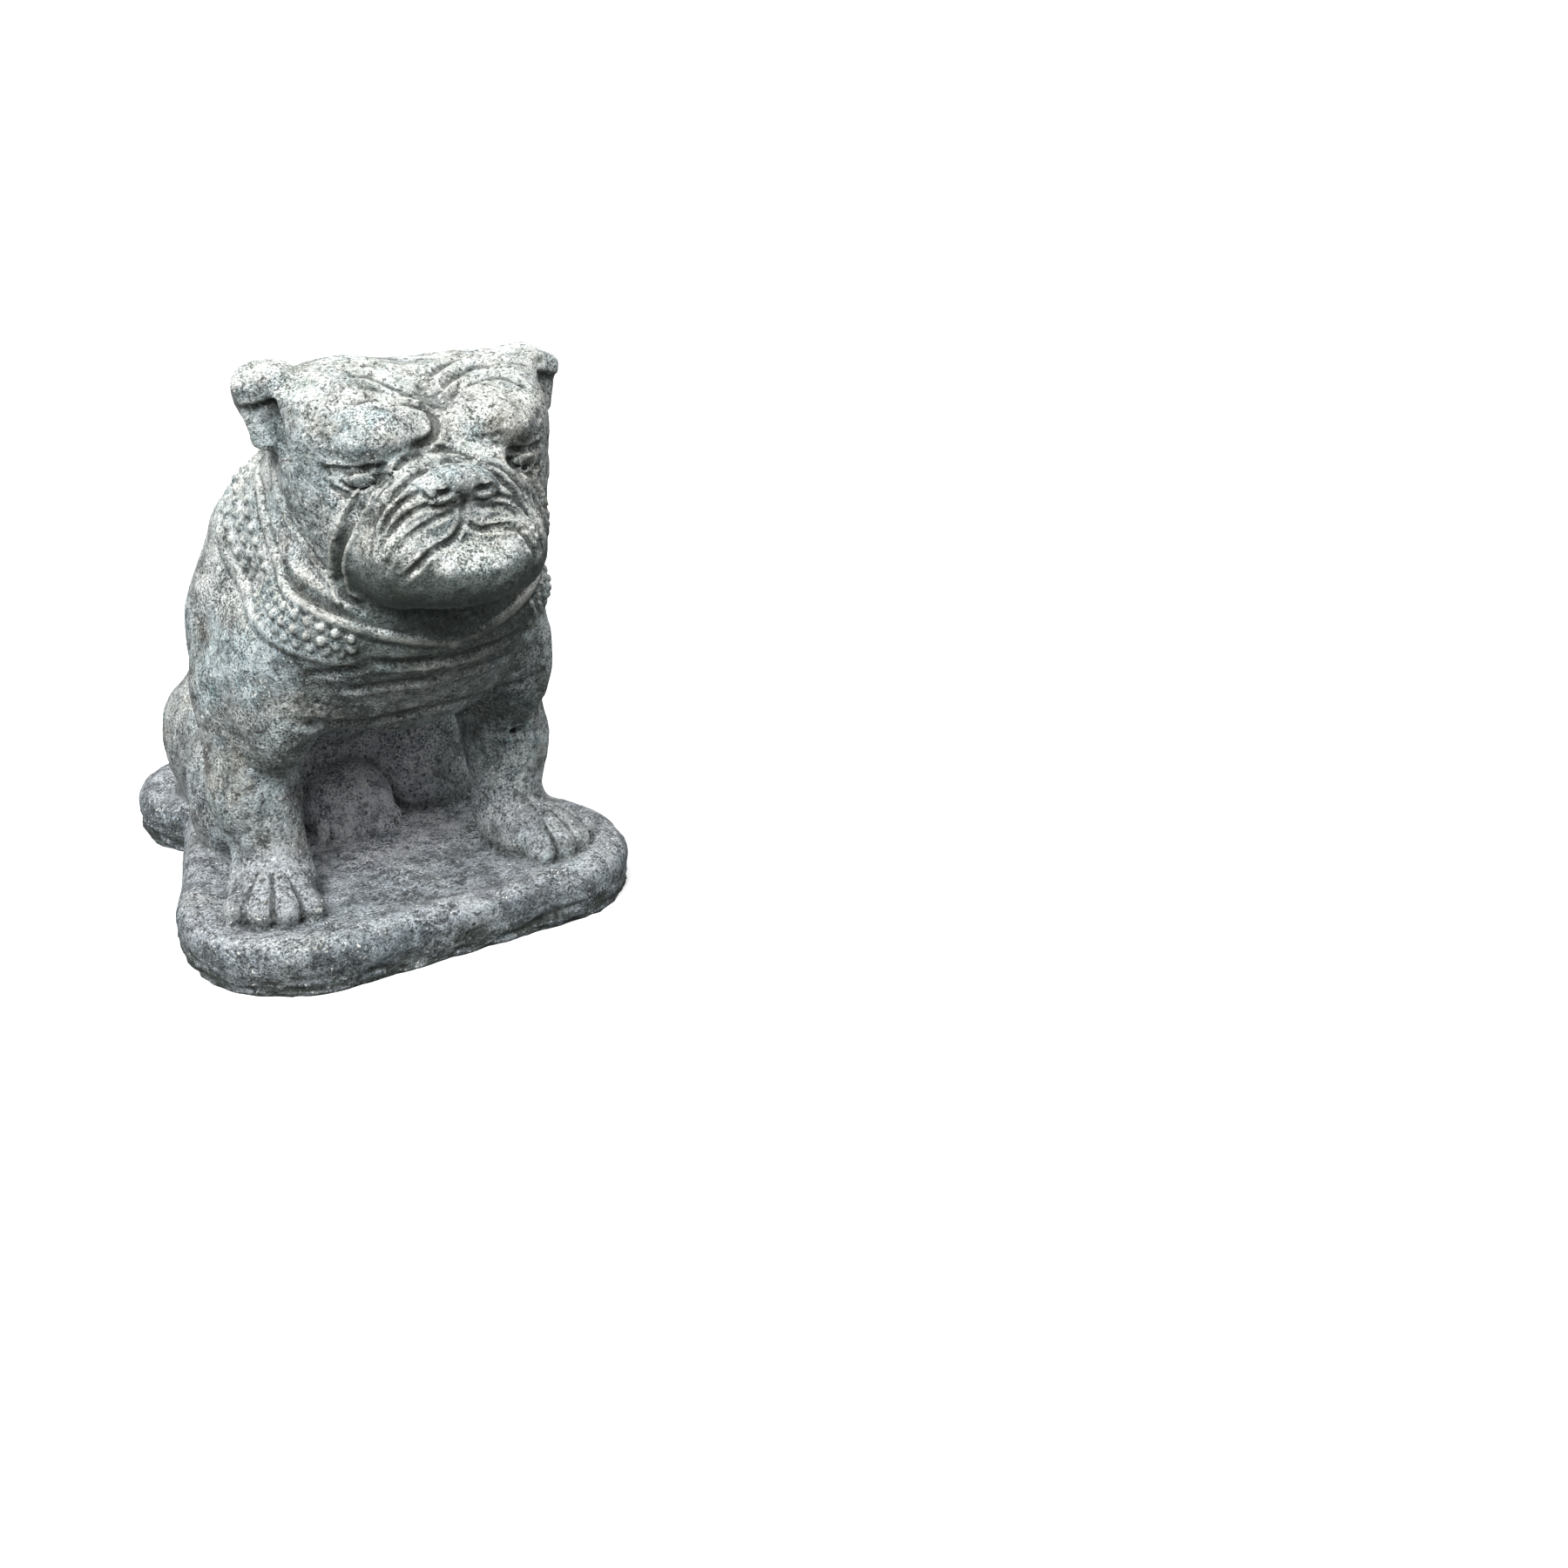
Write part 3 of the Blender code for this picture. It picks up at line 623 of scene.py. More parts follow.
# %% The folds
def add_face_folds(clay):
    """Each fold is a curve in the head's axes, a depth and a width. The dog's right and left
    sides have their own, because the real ones differ."""
    # Cheek, muzzle, brow, eyelids, jaw and nostril
    both = (
        ([(52, -64, 301), (60, -59, 290), (67, -55, 274), (69, -48, 258), (66, -41, 235),
          (57, -47, 225)], 10, 3.4),
        ([(47, -77, 296), (51, -72, 287), (55, -74, 277), (58, -77, 264)], 4.5, 1.8),
        ([(74, -46, 316), (70, -50, 315), (61, -57, 316), (51, -61, 317), (41, -64, 318)], 5, 2.2),
        ([(62, -56, 311), (56, -58, 315), (49, -60, 314), (42, -58, 308)], 3, 1.5),
        ([(64, -51, 308), (57, -55, 304), (50, -58, 304), (43, -59, 306)], 3, 1.5),
        ([(72, -46, 306), (63, -52, 301), (57, -57, 298), (50, -65, 300),
          (43, -64, 304)], 3.5, 1.8),
        ([(83, 26, 308), (85, 14, 288), (83, 1, 274), (79, -18, 261), (73, -33, 249),
          (66, -41, 235)], 4, 3),
        ([(17, -84, 303), (14, -87, 305), (10, -89, 304)], 5, 2.2),
    )
    # The brow's edge, the forehead and then the flew
    right = (
        ([(48, -38, 352), (36, -39, 354), (26, -43, 354), (14, -46, 350), (5, -48, 344)], 4.5, 2.8),
        ([(14, -46, 350), (4, -48, 343), (2, -53, 336), (7, -58, 330), (22, -64, 327)], 6.5, 2.8),
        ([(38, -8, 371), (24, -6, 369), (12, -8, 366), (5, -15, 360), (-1, -25, 355)], 5, 3),
        ([(44, -17, 368), (32, -20, 366), (24, -25, 361), (15, -32, 355), (8, -40, 350)], 5, 3),
        ([(47, -27, 361), (33, -30, 360), (22, -35, 357), (12, -40, 353)], 4, 2.6),
        ([(44, -92, 254), (28, -95, 267), (17, -89, 269), (7, -85, 273), (0, -86, 283)], 5.5, 2),
        ([(52, -76, 277), (43, -80, 293), (35, -83, 300), (24, -83, 303),
          (14, -86, 301)], 4.5, 1.7),
        ([(54, -81, 268), (42, -83, 285), (34, -85, 291), (23, -85, 295),
          (10, -85, 294)], 4.5, 1.7),
        ([(54, -88, 258), (45, -89, 272), (35, -89, 279), (23, -86, 284), (5, -85, 290)], 4.5, 1.7),
    )
    # The forehead, the brow's edge and then the flew
    left = (
        ([(8, -17, 361), (20, -5, 363), (31, 2, 365), (47, 7, 366), (57, 4, 366)], 5, 3),
        ([(11, -30, 354), (22, -20, 358), (38, -10, 361), (54, -10, 361)], 4.5, 2.8),
        ([(14, -40, 351), (22, -34, 355), (35, -26, 357), (50, -24, 357), (60, -29, 355),
          (67, -34, 349)], 5, 2.8),
        ([(9, -86, 297), (20, -85, 297), (32, -85, 293), (42, -83, 282), (50, -91, 259)], 4.5, 1.7),
        ([(8, -85, 291), (20, -86, 290), (31, -86, 287), (39, -87, 279), (47, -93, 258)], 4.5, 1.7),
        ([(2, -86, 281), (12, -85, 276), (21, -88, 276), (32, -90, 275), (39, -94, 267),
          (44, -94, 254)], 5.5, 2),
    )
    # Two folds over the nose, the furrow between the brows, and the line under the nose
    across = (
        ([(-57, -74, 276), (-51, -71, 294), (-42, -70, 306), (-27, -67, 321), (-2, -62, 324),
          (23, -75, 314), (48, -77, 285)], 5, 2),
        ([(-45, -79, 298), (-34, -79, 308), (-20, -75, 315), (-3, -71, 319), (15, -76, 314),
          (40, -82, 288), (52, -88, 254)], 5, 2),
        ([(0, -5, 366), (0, -32, 357), (0, -50, 343)], 4, 5),
        ([(0, -88, 302), (1, -87, 294), (0, -86, 283)], 4, 1.8),
    )
    for curves, sides in ((both, (-1, 1)), (right, (-1,)), (left, (1,)), (across, (1,))):
        press(
            clay,
            [
                ([head_point(s * x, y, z) for x, y, z in points], depth, width)
                for s in sides
                for points, depth, width in curves
            ],
        )


add_face_folds(clay)
print(f"with the folds: {clay.litres():.1f} litres")

# %% [markdown]
# ## The collar
#
# The dog wears a broad leather strap, cast in stone with it: two corded edges with three rows of
# round studs between them. The strap lies over the shoulders, so it is two curves laid on the
# skin, and each row of studs is a share of the way between them. The skin of the throat and the
# chest hangs in folds above and below it.

# %% The strap and the chest's folds
COLLAR_INNER = [
    (0, -50, 292), (52, -66, 302), (78, -98, 289), (85, -116, 266),
    (88, -146, 236), (84, -170, 225), (52, -200, 208), (0, -212, 192),
]
COLLAR_OUTER = [
    (0, -14, 262), (54, -30, 266), (84, -62, 238), (92, -96, 212),
    (96, -150, 198), (68, -194, 184), (0, -212, 170),
]


def add_collar(clay):
    """The strap's two edges are thin raised cords, and the throat and chest hang in folds over
    and under it."""
    throat = [(86, -138, 243), (84, -163, 234), (74, -185, 225), (58, -197, 219)]
    upper = [(81, -162, 176), (58, -188, 186), (30, -199, 184), (0, -204, 183)]
    lower = [(66, -170, 163), (40, -186, 168), (0, -194, 168)]
    edge = [(90, -148, 140), (56, -146, 131), (28, -163, 139), (0, -171, 140)]
    lines = (
        (COLLAR_INNER, -4, 2.8),
        (COLLAR_OUTER, -3, 3.6),
        (throat, 5, 4),
        (upper, 3.5, 4),
        (lower, 3, 4),
        (edge, 3, 4),
    )
    for s in (-1, 1):
        press(
            clay,
            [
                ([(s * x, y, z) for x, y, z in points], depth, width)
                for points, depth, width in lines
            ],
        )


add_collar(clay)

# %% The studs
STUD_PITCH = 10
STUD_RADIUS = 3.4
STUD_ROWS = (0.25, 0.5, 0.75)


def add_studs(clay):
    """Rows of small domes along the strap, set half a pitch apart from row to row. A row lies a
    fixed share of the way from the strap's inner edge to its outer one."""
    for s in (-1, 1):
        inner, outer = (
            curve([(s * x, y, z) for x, y, z in line], 160) for line in (COLLAR_INNER, COLLAR_OUTER)
        )
        for row, share in enumerate(STUD_ROWS):
            line = clay.lay(inner + share * (outer - inner))
            along = np.append(0, np.cumsum(np.linalg.norm(np.diff(line, axis=0), axis=1)))
            for d in np.arange(6 + 5 * (row % 2), 0.8 * along[-1], STUD_PITCH):
                point = [np.interp(d, along, line[:, i]) for i in range(3)]
                mass(clay, point, (STUD_RADIUS,) * 3, 1.5)


add_studs(clay)
print(f"with the collar: {clay.litres():.1f} litres")

# %% [markdown]
# ## Toes and a chip
#
# Worn grooves part the toes of the forepaws, deepest on the dog's right, and the casting has a
# small round hole in the left foreleg. Both are too fine for the coarse solid, so they are
# carved here: grooves as the folds are, and the hole with a long thin mass taken away.

# %% Lines between the toes
def add_toe_lines(clay):
    """Three grooves run over the front of each forepaw, on rays as far apart as the toes."""
    for s in (-1, 1):
        dx, dy = (0, 0) if s < 0 else (-6, -LEFT_AHEAD)
        lines = []
        for i in range(3):
            a = math.radians(s * (47 - TOE_SPREAD * i))
            line = [
                (s * 96 + dx + r * math.sin(a), -98 + dy - r * math.cos(a), z)
                for r, z in ((26, 27), (38, 19), (48, 9), (52, 1))
            ]
            lines.append((line, (4, 3, 1.5)[i] if s < 0 else 2, 1.8))
        press(clay, lines)


add_toe_lines(clay)

# %% The hole in the foreleg
CHIP_PLACE = (86, -118, 86)
CHIP_RADII = (2.8, 7, 2.8)


def add_chip(clay):
    """A small round hole in the front of the dog's left foreleg: a long thin mass taken away."""
    clay.cut(CHIP_PLACE, 9, ellipsoid(CHIP_PLACE, CHIP_RADII), 0.6)


add_chip(clay)

# %% [markdown]
# ## The base
#
# The dog sits on a low slab with two broad lobes in front, a waist, and a narrower lobe behind.
# A curve drawn round it and extruded would have a sharp edge, but cast stone is rounded. So the
# outline is a field too, and it is blended with the slab's height to round its edge off.

# %% The slab
def base_outline(x, y):
    """Distance outside the base's edge, seen from above: two rounded rectangles, the broad front
    lobes and the narrower rear one, joined by a wedge that tapers to the waist."""
    half, rear, waist = (w / 2 / STEP for w in (BASE_WIDTH, REAR_LOBE_WIDTH, WAIST_WIDTH))
    front, length = BASE_FRONT / STEP, BASE_LENGTH / STEP
    waist_y = WAIST_FROM_FRONT / STEP - front
    ax = np.abs(x)

    def rounded(y0, y1, side, radius):
        qx = ax - (side - radius)
        qy = np.abs(y - (y0 + y1) / 2) - ((y1 - y0) / 2 - radius)
        outside = np.sqrt(np.maximum(qx, 0) ** 2 + np.maximum(qy, 0) ** 2)
        return outside + np.minimum(np.maximum(qx, qy), 0) - radius

    fore = rounded(-front, -front + 170, half, FRONT_CORNER_RADIUS / STEP)
    aft = rounded(waist_y + 4, length - front, rear, REAR_CORNER_RADIUS / STEP)
    taper = (half - waist) / ((WAIST_FROM_FRONT - TAPER_FROM_FRONT) / STEP)
    side = (ax - waist - taper * (waist_y - y)) / math.hypot(1, taper)
    start = FRONT_CORNER_RADIUS / STEP - front
    middle = np.maximum(np.maximum(side, ax - half + 6), np.maximum(start - y, y - waist_y - 20))
    return smooth_min(smooth_min(fore, middle, 14), aft, 12)


def add_base(clay):
    """The outline's field, rounded into a top with a low rim: rim * exp(-((edge + 15) / 13)^2).
    The side bulges by the square of the height from its middle. Both are cut off below the
    ground."""
    thick = BASE_THICKNESS / STEP
    rim = RIM_HEIGHT / STEP

    def shape(x, y, z):
        edge = base_outline(x, y)
        top = rim * np.exp(-(((edge + 15) / 13) ** 2)) - rim
        side = edge + 3 * ((z + thick * 0.45) / thick) ** 2
        return np.maximum(smooth_max(side + 0 * z, z - top, 10), -thick - 10 - z)

    middle = (0, (BASE_LENGTH / 2 - BASE_FRONT) / STEP, -thick / 2)
    reach = (BASE_WIDTH / STEP / 2 + 16, BASE_LENGTH / STEP / 2 + 16, thick / 2 + 14)
    clay.join(middle, reach, shape, 4)


add_base(clay)
print(f"with the base: {clay.litres():.1f} litres")

# %% [markdown]
# ## Skin
#
# The carving is still only numbers on a grid. A remesh modifier can't read them, so the surface
# where they pass zero is found here, with whole arrays: each crossed cell gets one vertex at the
# mean of its crossings, which gives even quads and keeps soft forms soft.

# %% The surface where the field is zero
def skin(field, low, cell):
    """Vertices and quads of the field's zero surface. Each cell that the surface crosses gets one
    vertex, the mean of the points where it cuts the cell's edges. Each cut edge gets one quad,
    which joins the vertices of the four cells around it."""
    cells = np.array(field.shape) - 1
    count = int(np.prod(cells))
    total = np.zeros((3, count))
    hits = np.zeros(count)
    quads = []
    for axis in range(3):
        u, v = (axis + 1) % 3, (axis + 2) % 3
        lower = [slice(1, -1)] * 3
        lower[axis] = slice(0, -1)
        upper = list(lower)
        upper[axis] = slice(1, None)
        a, b = field[tuple(lower)], field[tuple(upper)]
        at = np.argwhere((a < 0) != (b < 0))
        va, vb = a[tuple(at.T)], b[tuple(at.T)]
        at[:, u] += 1
        at[:, v] += 1
        point = at.astype(float)
        point[:, axis] += va / (va - vb)
        ring = []
        for du, dv in ((0, 0), (-1, 0), (-1, -1), (0, -1)):
            cell_at = at.copy()
            cell_at[:, u] += du
            cell_at[:, v] += dv
            index = np.ravel_multi_index(tuple(cell_at.T), cells)
            ring.append(index)
            hits += np.bincount(index, minlength=count)
            for i in range(3):
                total[i] += np.bincount(index, weights=point[:, i], minlength=count)
        ring = np.stack(ring, 1)
        ring[va > 0] = ring[va > 0][:, ::-1]
        quads.append(ring)
    used = np.flatnonzero(hits)
    vertices = (total[:, used] / hits[used]).T * cell + low
    number = np.zeros(count, int)
    number[used] = np.arange(len(used))
    return vertices, number[np.vstack(quads)]

# %% The largest piece of it
def whole(vertices, quads):
    """The largest connected skin, without any sealed bubble left between two masses. Every vertex
    takes the lowest number among its neighbours until none changes."""
    label = np.arange(len(vertices))
    while True:
        least = label.copy()
        lowest = label[quads].min(1)
        for i in range(4):
            np.minimum.at(least, quads[:, i], lowest)
        least = least[least]
        if (least == label).all():
            break
        label = least
    kept = label == np.bincount(label).argmax()
    number = np.cumsum(kept) - 1
    return vertices[kept], number[quads[kept[quads[:, 0]]]]

# %% [markdown]
# ## Wear
#
# Years of weather have eaten the stone: its skin undulates and is pitted, and the base's lower
# edge is ragged. A displacement texture would do for the look, but the mesh itself should be
# worn too. So the vertices are moved in and out by random numbers that are the same every time.

# %% Random numbers that depend on place alone
def scatter(corners, seed):
    """A random number from 0 to 1 for each lattice corner, always the same for the same corner."""
    mixed = corners @ np.array([73856093, 19349663, 83492791]) + seed * 668265263
    mixed = (mixed ^ (mixed >> 13)) * 1274126177
    mixed = (mixed ^ (mixed >> 15)) * 2246822519
    return ((mixed ^ (mixed >> 16)) & 0xFFFF) / 65535


def noise(points, size, seed):
    """Smooth random numbers between -1 and 1 that change over about the given size: the numbers
    at the eight corners of a lattice cell, blended by 3t^2 - 2t^3."""
    at = points / size
    first = np.floor(at).astype(np.int64)
    part = at - first
    part = part * part * (3 - 2 * part)
    total = 0
    for corner in np.ndindex(2, 2, 2):
        share = np.prod(np.where(corner, part, 1 - part), axis=1)
        total = total + share * (2 * scatter(first + corner, seed) - 1)
    return total

# %% Pits and streaks
def pits(points, size, seed):
    """Depth from 0 to 1 of round pits, about one to a cell of the given size. Each has a random
    centre and width, and its depth falls off as a ball's does: sqrt(1 - away^2).
    """
    at = points / size
    first = np.floor(at).astype(np.int64)
    deepest = np.zeros(len(points))
    for corner in np.ndindex(3, 3, 3):
        cell = first + corner - 1
        centre = cell + np.stack([scatter(cell, seed + i) for i in range(3)], 1)
        width = 0.12 + 0.3 * scatter(cell, seed + 3) ** 2
        away = np.linalg.norm(at - centre, axis=1) / width
        depth = np.clip(1 - away**2, 0, 1) ** 0.5 * np.clip(width / 0.25, 0.3, 1)
        deepest = np.maximum(deepest, depth)
    return deepest


def wear(points):
    """How far in steps the worn skin stands out from the carved one: three sizes of noise, less
    pits, with deep level streaks on the base's lower edge."""
    # Broad, middling and fine unevenness
    rough = 0.7 * noise(points, 26, 1) + 0.5 * noise(points, 11, 2) + 0.45 * noise(points, 5, 3)
    patchy = np.clip(0.5 + noise(points, 40, 4), 0.15, 1)
    rough = rough - 1.5 * patchy * pits(points, 9, 10)
    low = np.clip((-14 - points[:, 2]) / 12, 0, 1)
    streaks = noise(points * (1, 1, 3.5), 14, 5) + 0.6 * noise(points * (1, 1, 3), 6, 6)
    return rough + low * (1.6 * streaks - 0.8)

# %% [markdown]
# ## The statue's mesh
#
# The skin becomes a mesh here, cut level underneath so that the base rests flat. The grid's even
# quads are more than the form needs, so the flattest are merged. The stone's colours depend on
# the carving, and so each vertex also stores how deep it lies in a crease or a hollow, and how far
# it was worn.

# %% Directions and depths on the skin
# How many steps away the field is read, for narrow creases and for wide hollows
CREASE_REACH = 4
HOLLOW_REACH = 14


def normals(vertices, quads):
    """Each vertex's direction outwards: the sum of its faces' normals, made one long."""
    a, b, c, d = (vertices[quads[:, i]] for i in range(4))
    face = np.cross(c - a, d - b)
    total = np.zeros_like(vertices)
    for i in range(4):
        for axis in range(3):
            at = quads[:, i]
            total[:, axis] += np.bincount(at, weights=face[:, axis], minlength=len(vertices))
    return total / np.maximum(np.linalg.norm(total, axis=1), 1e-9)[:, None]


def hollowness(clay, points, reach):
    """How much the skin closes in around each point: the field there less its mean a little way
    off along the six axis directions, over that distance. It is above 0 in a crease and below 0
    on an edge."""
    around = sum(clay.sample(points + e) for e in reach * np.vstack([np.eye(3), -np.eye(3)]))
    return -(around / 6 - clay.sample(points)) / reach


def mark(mesh, name, values):
    """Stores one number for each vertex, for the stone's colours to read."""
    layer = mesh.attributes.new(name, "FLOAT", "POINT")
    layer.data.foreach_set("value", np.asarray(values, np.float32))

# %% A closed mesh with fewer triangles
def mesh_of(clay):
    """The worn skin as a mesh, cut flat at z = 0 and closed there."""
    vertices, quads = whole(*skin(clay.field, clay.low, clay.cell))
    vertices = vertices + wear(vertices)[:, None] * normals(vertices, quads)
    vertices = vertices * STEP + (0, 0, BASE_THICKNESS)
    mesh = bpy.data.meshes.new("bulldog")
    mesh.from_pydata(vertices.tolist(), [], quads.tolist())
    bm = bmesh.new()
    bm.from_mesh(mesh)
    everything = bm.verts[:] + bm.edges[:] + bm.faces[:]
    cut = bmesh.ops.bisect_plane(
        bm, geom=everything, dist=1e-5, plane_co=(0, 0, 0), plane_no=(0, 0, 1), clear_inner=True
    )
    rim = [e for e in cut["geom_cut"] if isinstance(e, bmesh.types.BMEdge)]
    bmesh.ops.holes_fill(bm, edges=rim)
    bmesh.ops.triangulate(bm, faces=bm.faces[:])
    bm.to_mesh(mesh)
    bm.free()
    return mesh


def thinned(mesh, count):
    """The mesh with its flattest triangles merged, down to about the given count."""
    helper = bpy.data.objects.new("helper", mesh)
    bpy.context.scene.collection.objects.link(helper)
    thin = helper.modifiers.new("thin", "DECIMATE")
    thin.ratio = min(1, count / len(mesh.polygons))
    graph = bpy.context.evaluated_depsgraph_get()
    light = bpy.data.meshes.new_from_object(helper.evaluated_get(graph))
    bpy.data.objects.remove(helper)
    return light

# %% The statue
def add_statue(clay):
    """The statue, moved so that the middle of its outline is the solid's. It gives back the
    object and the move."""
    mesh = thinned(mesh_of(clay), TRIANGLES)
    points = np.empty(len(mesh.vertices) * 3, np.float32)
    mesh.vertices.foreach_get("co", points)
    points = points.reshape(-1, 3).astype(float)
    steps = (points - (0, 0, BASE_THICKNESS)) / STEP
    mark(mesh, "crease", hollowness(clay, steps, CREASE_REACH))
    mark(mesh, "hollow", hollowness(clay, steps, HOLLOW_REACH))
    mark(mesh, "wear", wear(steps))
    shift = (solid_box.sum(0) - points.min(0) - points.max(0)) / 2 * (1, 1, 0)
    mesh.vertices.foreach_set("co", (points + shift).astype(np.float32).ravel())
    mesh.update()
    mesh.shade_smooth()
    statue = bpy.data.objects.new("bulldog", mesh)
    bpy.context.scene.collection.objects.link(statue)
    return statue, shift


statue, shift = add_statue(clay)
print(len(statue.data.polygons), "triangles, moved by", (shift * 1000).round(2), "mm")

# %% [markdown]
# ## Weathered stone
#
# The surface is a patchwork: tops and most of the face are almost white, partly washed by rain
# and partly painted light, undersides and wide hollows are dark with algae and painted shade, the
# base is muddy, creases and pits are painted dark as shade, and all of it is grainy, chalky and
# pitted. A painted texture would fit one view only. Here every patch is noise on the object's own
# coordinates, masked by the height, by the way the surface faces, or by what the carving stored.

# %% Short ways to add and join shader nodes
class Nodes:
    """Short ways to add and join shader nodes."""

    def __init__(self, material):
        self.nodes = material.node_tree.nodes
        self.links = material.node_tree.links
        self.place = self.nodes.new("ShaderNodeTexCoord").outputs["Object"]
        self.across, self.along, self.height = self.split(self.place)
        self.up = self.split(self.nodes.new("ShaderNodeNewGeometry").outputs["Normal"])[2]

    def split(self, vector):
        node = self.nodes.new("ShaderNodeSeparateXYZ")
        self.links.new(vector, node.inputs["Vector"])
        return node.outputs

    def put(self, socket, value):
        """Links a socket to a value that another node gives, or sets it to a constant."""
        if isinstance(value, bpy.types.NodeSocket):
            self.links.new(value, socket)
        elif socket.type == "RGBA" and len(value) == 3:
            socket.default_value = (*value, 1)
        else:
            socket.default_value = value

    def mapped(self, scale, shift):
        """The place, stretched and moved, so that two patterns never line up."""
        node = self.nodes.new("ShaderNodeMapping")
        node.inputs["Location"].default_value = (shift, -0.7 * shift, 0.4 * shift)
        node.inputs["Scale"].default_value = scale
        self.links.new(self.place, node.inputs["Vector"])
        return node.outputs["Vector"]

    def noise(self, scale, detail=4, rough=0.6, shift=0.0, stretch=(1, 1, 1)):
        node = self.nodes.new("ShaderNodeTexNoise")
        node.inputs["Scale"].default_value = scale
        node.inputs["Detail"].default_value = detail
        node.inputs["Roughness"].default_value = rough
        self.links.new(self.mapped(stretch, shift), node.inputs["Vector"])
        return node.outputs["Fac"]

    def attribute(self, name):
        node = self.nodes.new("ShaderNodeAttribute")
        node.attribute_name = name
        return node.outputs["Fac"]

    def step(self, value, low, high, bottom=0.0, top=1.0):
        """Runs smoothly from bottom to top as the value runs from low to high."""
        node = self.nodes.new("ShaderNodeMapRange")
        node.interpolation_type = "SMOOTHSTEP"
        self.put(node.inputs["Value"], value)
        ends = {"From Min": low, "From Max": high, "To Min": bottom, "To Max": top}
        for name, number in ends.items():
            node.inputs[name].default_value = number
        return node.outputs["Result"]

    def math(self, kind, a, b):
        node = self.nodes.new("ShaderNodeMath")
        node.operation = kind
        self.put(node.inputs[0], a)
        self.put(node.inputs[1], b)
        return node.outputs[0]

    def times(self, a, b):
        return self.math("MULTIPLY", a, b)

    def tone(self, value, low, high, dark, light):
        """A grey that runs from dark to light as the value runs from low to high."""
        return self.mix((dark,) * 3, (light,) * 3, self.step(value, low, high))

    def mix(self, a, b, share, kind="MIX"):
        node = self.nodes.new("ShaderNodeMix")
        node.data_type = "RGBA"
        node.blend_type = kind
        self.put(node.inputs["Factor"], share)
        self.put(node.inputs["A"], a)
        self.put(node.inputs["B"], b)
        return node.outputs["Result"]

# %% Bare stone, painted light on tops, rain and mud
DARK_STONE = (0.20, 0.215, 0.215)
PALE_STONE = (0.41, 0.435, 0.43)
BLUE_STONE = (0.34, 0.42, 0.44)
DRY_SIDE = (0.46, 0.53, 0.55)
BROWN_STAIN = (0.24, 0.21, 0.16)
# Paler stone on tops and the face: partly rain-washed, partly painted light from above
WASHED_AND_LIT_TOP = (0.76, 0.77, 0.72)
MUD = (0.29, 0.31, 0.335)


def bare_stone(n):
    """Dark and pale patches, some of them blue or brown, with drier sides above the base."""
    colour = n.mix(DARK_STONE, PALE_STONE, n.step(n.noise(10, 4, 0.65), 0.36, 0.64))
    blue = n.step(n.noise(16, 4, 0.65, 3.1), 0.48, 0.62)
    colour = n.mix(colour, BLUE_STONE, n.times(blue, 0.7))
    sides = n.times(n.step(n.height, 0.04, 0.08), n.step(n.noise(13, 4, 0.65, 9.9), 0.35, 0.6))
    colour = n.mix(colour, DRY_SIDE, n.times(sides, n.step(n.up, 0.6, 0.1, 0, 0.45)))
    brown = n.step(n.noise(21, 4, 0.6, 8.3), 0.52, 0.68)
    return n.mix(colour, BROWN_STAIN, n.times(brown, 0.45))


def lit_tops_rain_and_mud(n, colour):
    """What faces up, and most of the face, is paler: partly washed by rain and partly painted
    light. Mud lies on the base and the paws.
    """
    face = n.times(n.step(n.up, -0.2, 0.5), n.step(n.height, 0.275, 0.315))
    washed_and_lit = n.math("MAXIMUM", n.step(n.up, 0.1, 0.75), face)
    washed_and_lit = n.times(washed_and_lit, n.step(n.noise(28, 5, 0.7, 5.7), 0.3, 0.6))
    washed_and_lit = n.times(washed_and_lit, n.step(n.height, 0.05, 0.3, 0.1, 0.55))
    # Painted light: tops and the face are made paler, as well as washed by rain
    colour = n.mix(colour, WASHED_AND_LIT_TOP, washed_and_lit)
    patchy = n.step(n.noise(19, 5, 0.7, 6.6), 0.3, 0.6, 0.45, 0.9)
    muddy = n.times(n.step(n.height, 0.13, 0.03), patchy)
    return n.mix(colour, MUD, n.times(muddy, n.step(n.up, -0.1, 0.5, 0.55, 1)))

# %% Algae and painted shade, painted light between the forelegs, and the base's side
# Dark green-grey of algae, also used as painted shade on undersides and in wide hollows
ALGAE_AND_SHADE = (0.085, 0.105, 0.085)
# Painted light: a pale grey that lifts the shaded stone between the forelegs
PAINTED_FILL_LIGHT = (0.6, 0.61, 0.65)
DAMP_SIDE = (0.16, 0.19, 0.21)
# Painted shade for the lower muzzle and chin
CHIN_SHADE = (0.06, 0.078, 0.068)


def algae_and_shade(n, colour, hollow):
    """Undersides and wide hollows are darkened, partly by algae and partly as painted shade, less
    of both near the ground.
    """
    algae_and_shade_share = n.math("ADD", n.times(n.step(n.up, 0.1, -0.5), 0.7), n.step(hollow, 0.05, 0.45, 0, 0.5))
    algae_and_shade_share = n.times(algae_and_shade_share, n.step(n.height, 0.05, 0.15, 0.45, 1))
    algae_and_shade_share = n.times(algae_and_shade_share, n.step(n.noise(34, 6, 0.72, 1.9), 0.28, 0.6))
    # Algae and painted shade darken undersides and wide hollows
    return n.mix(colour, ALGAE_AND_SHADE, algae_and_shade_share)


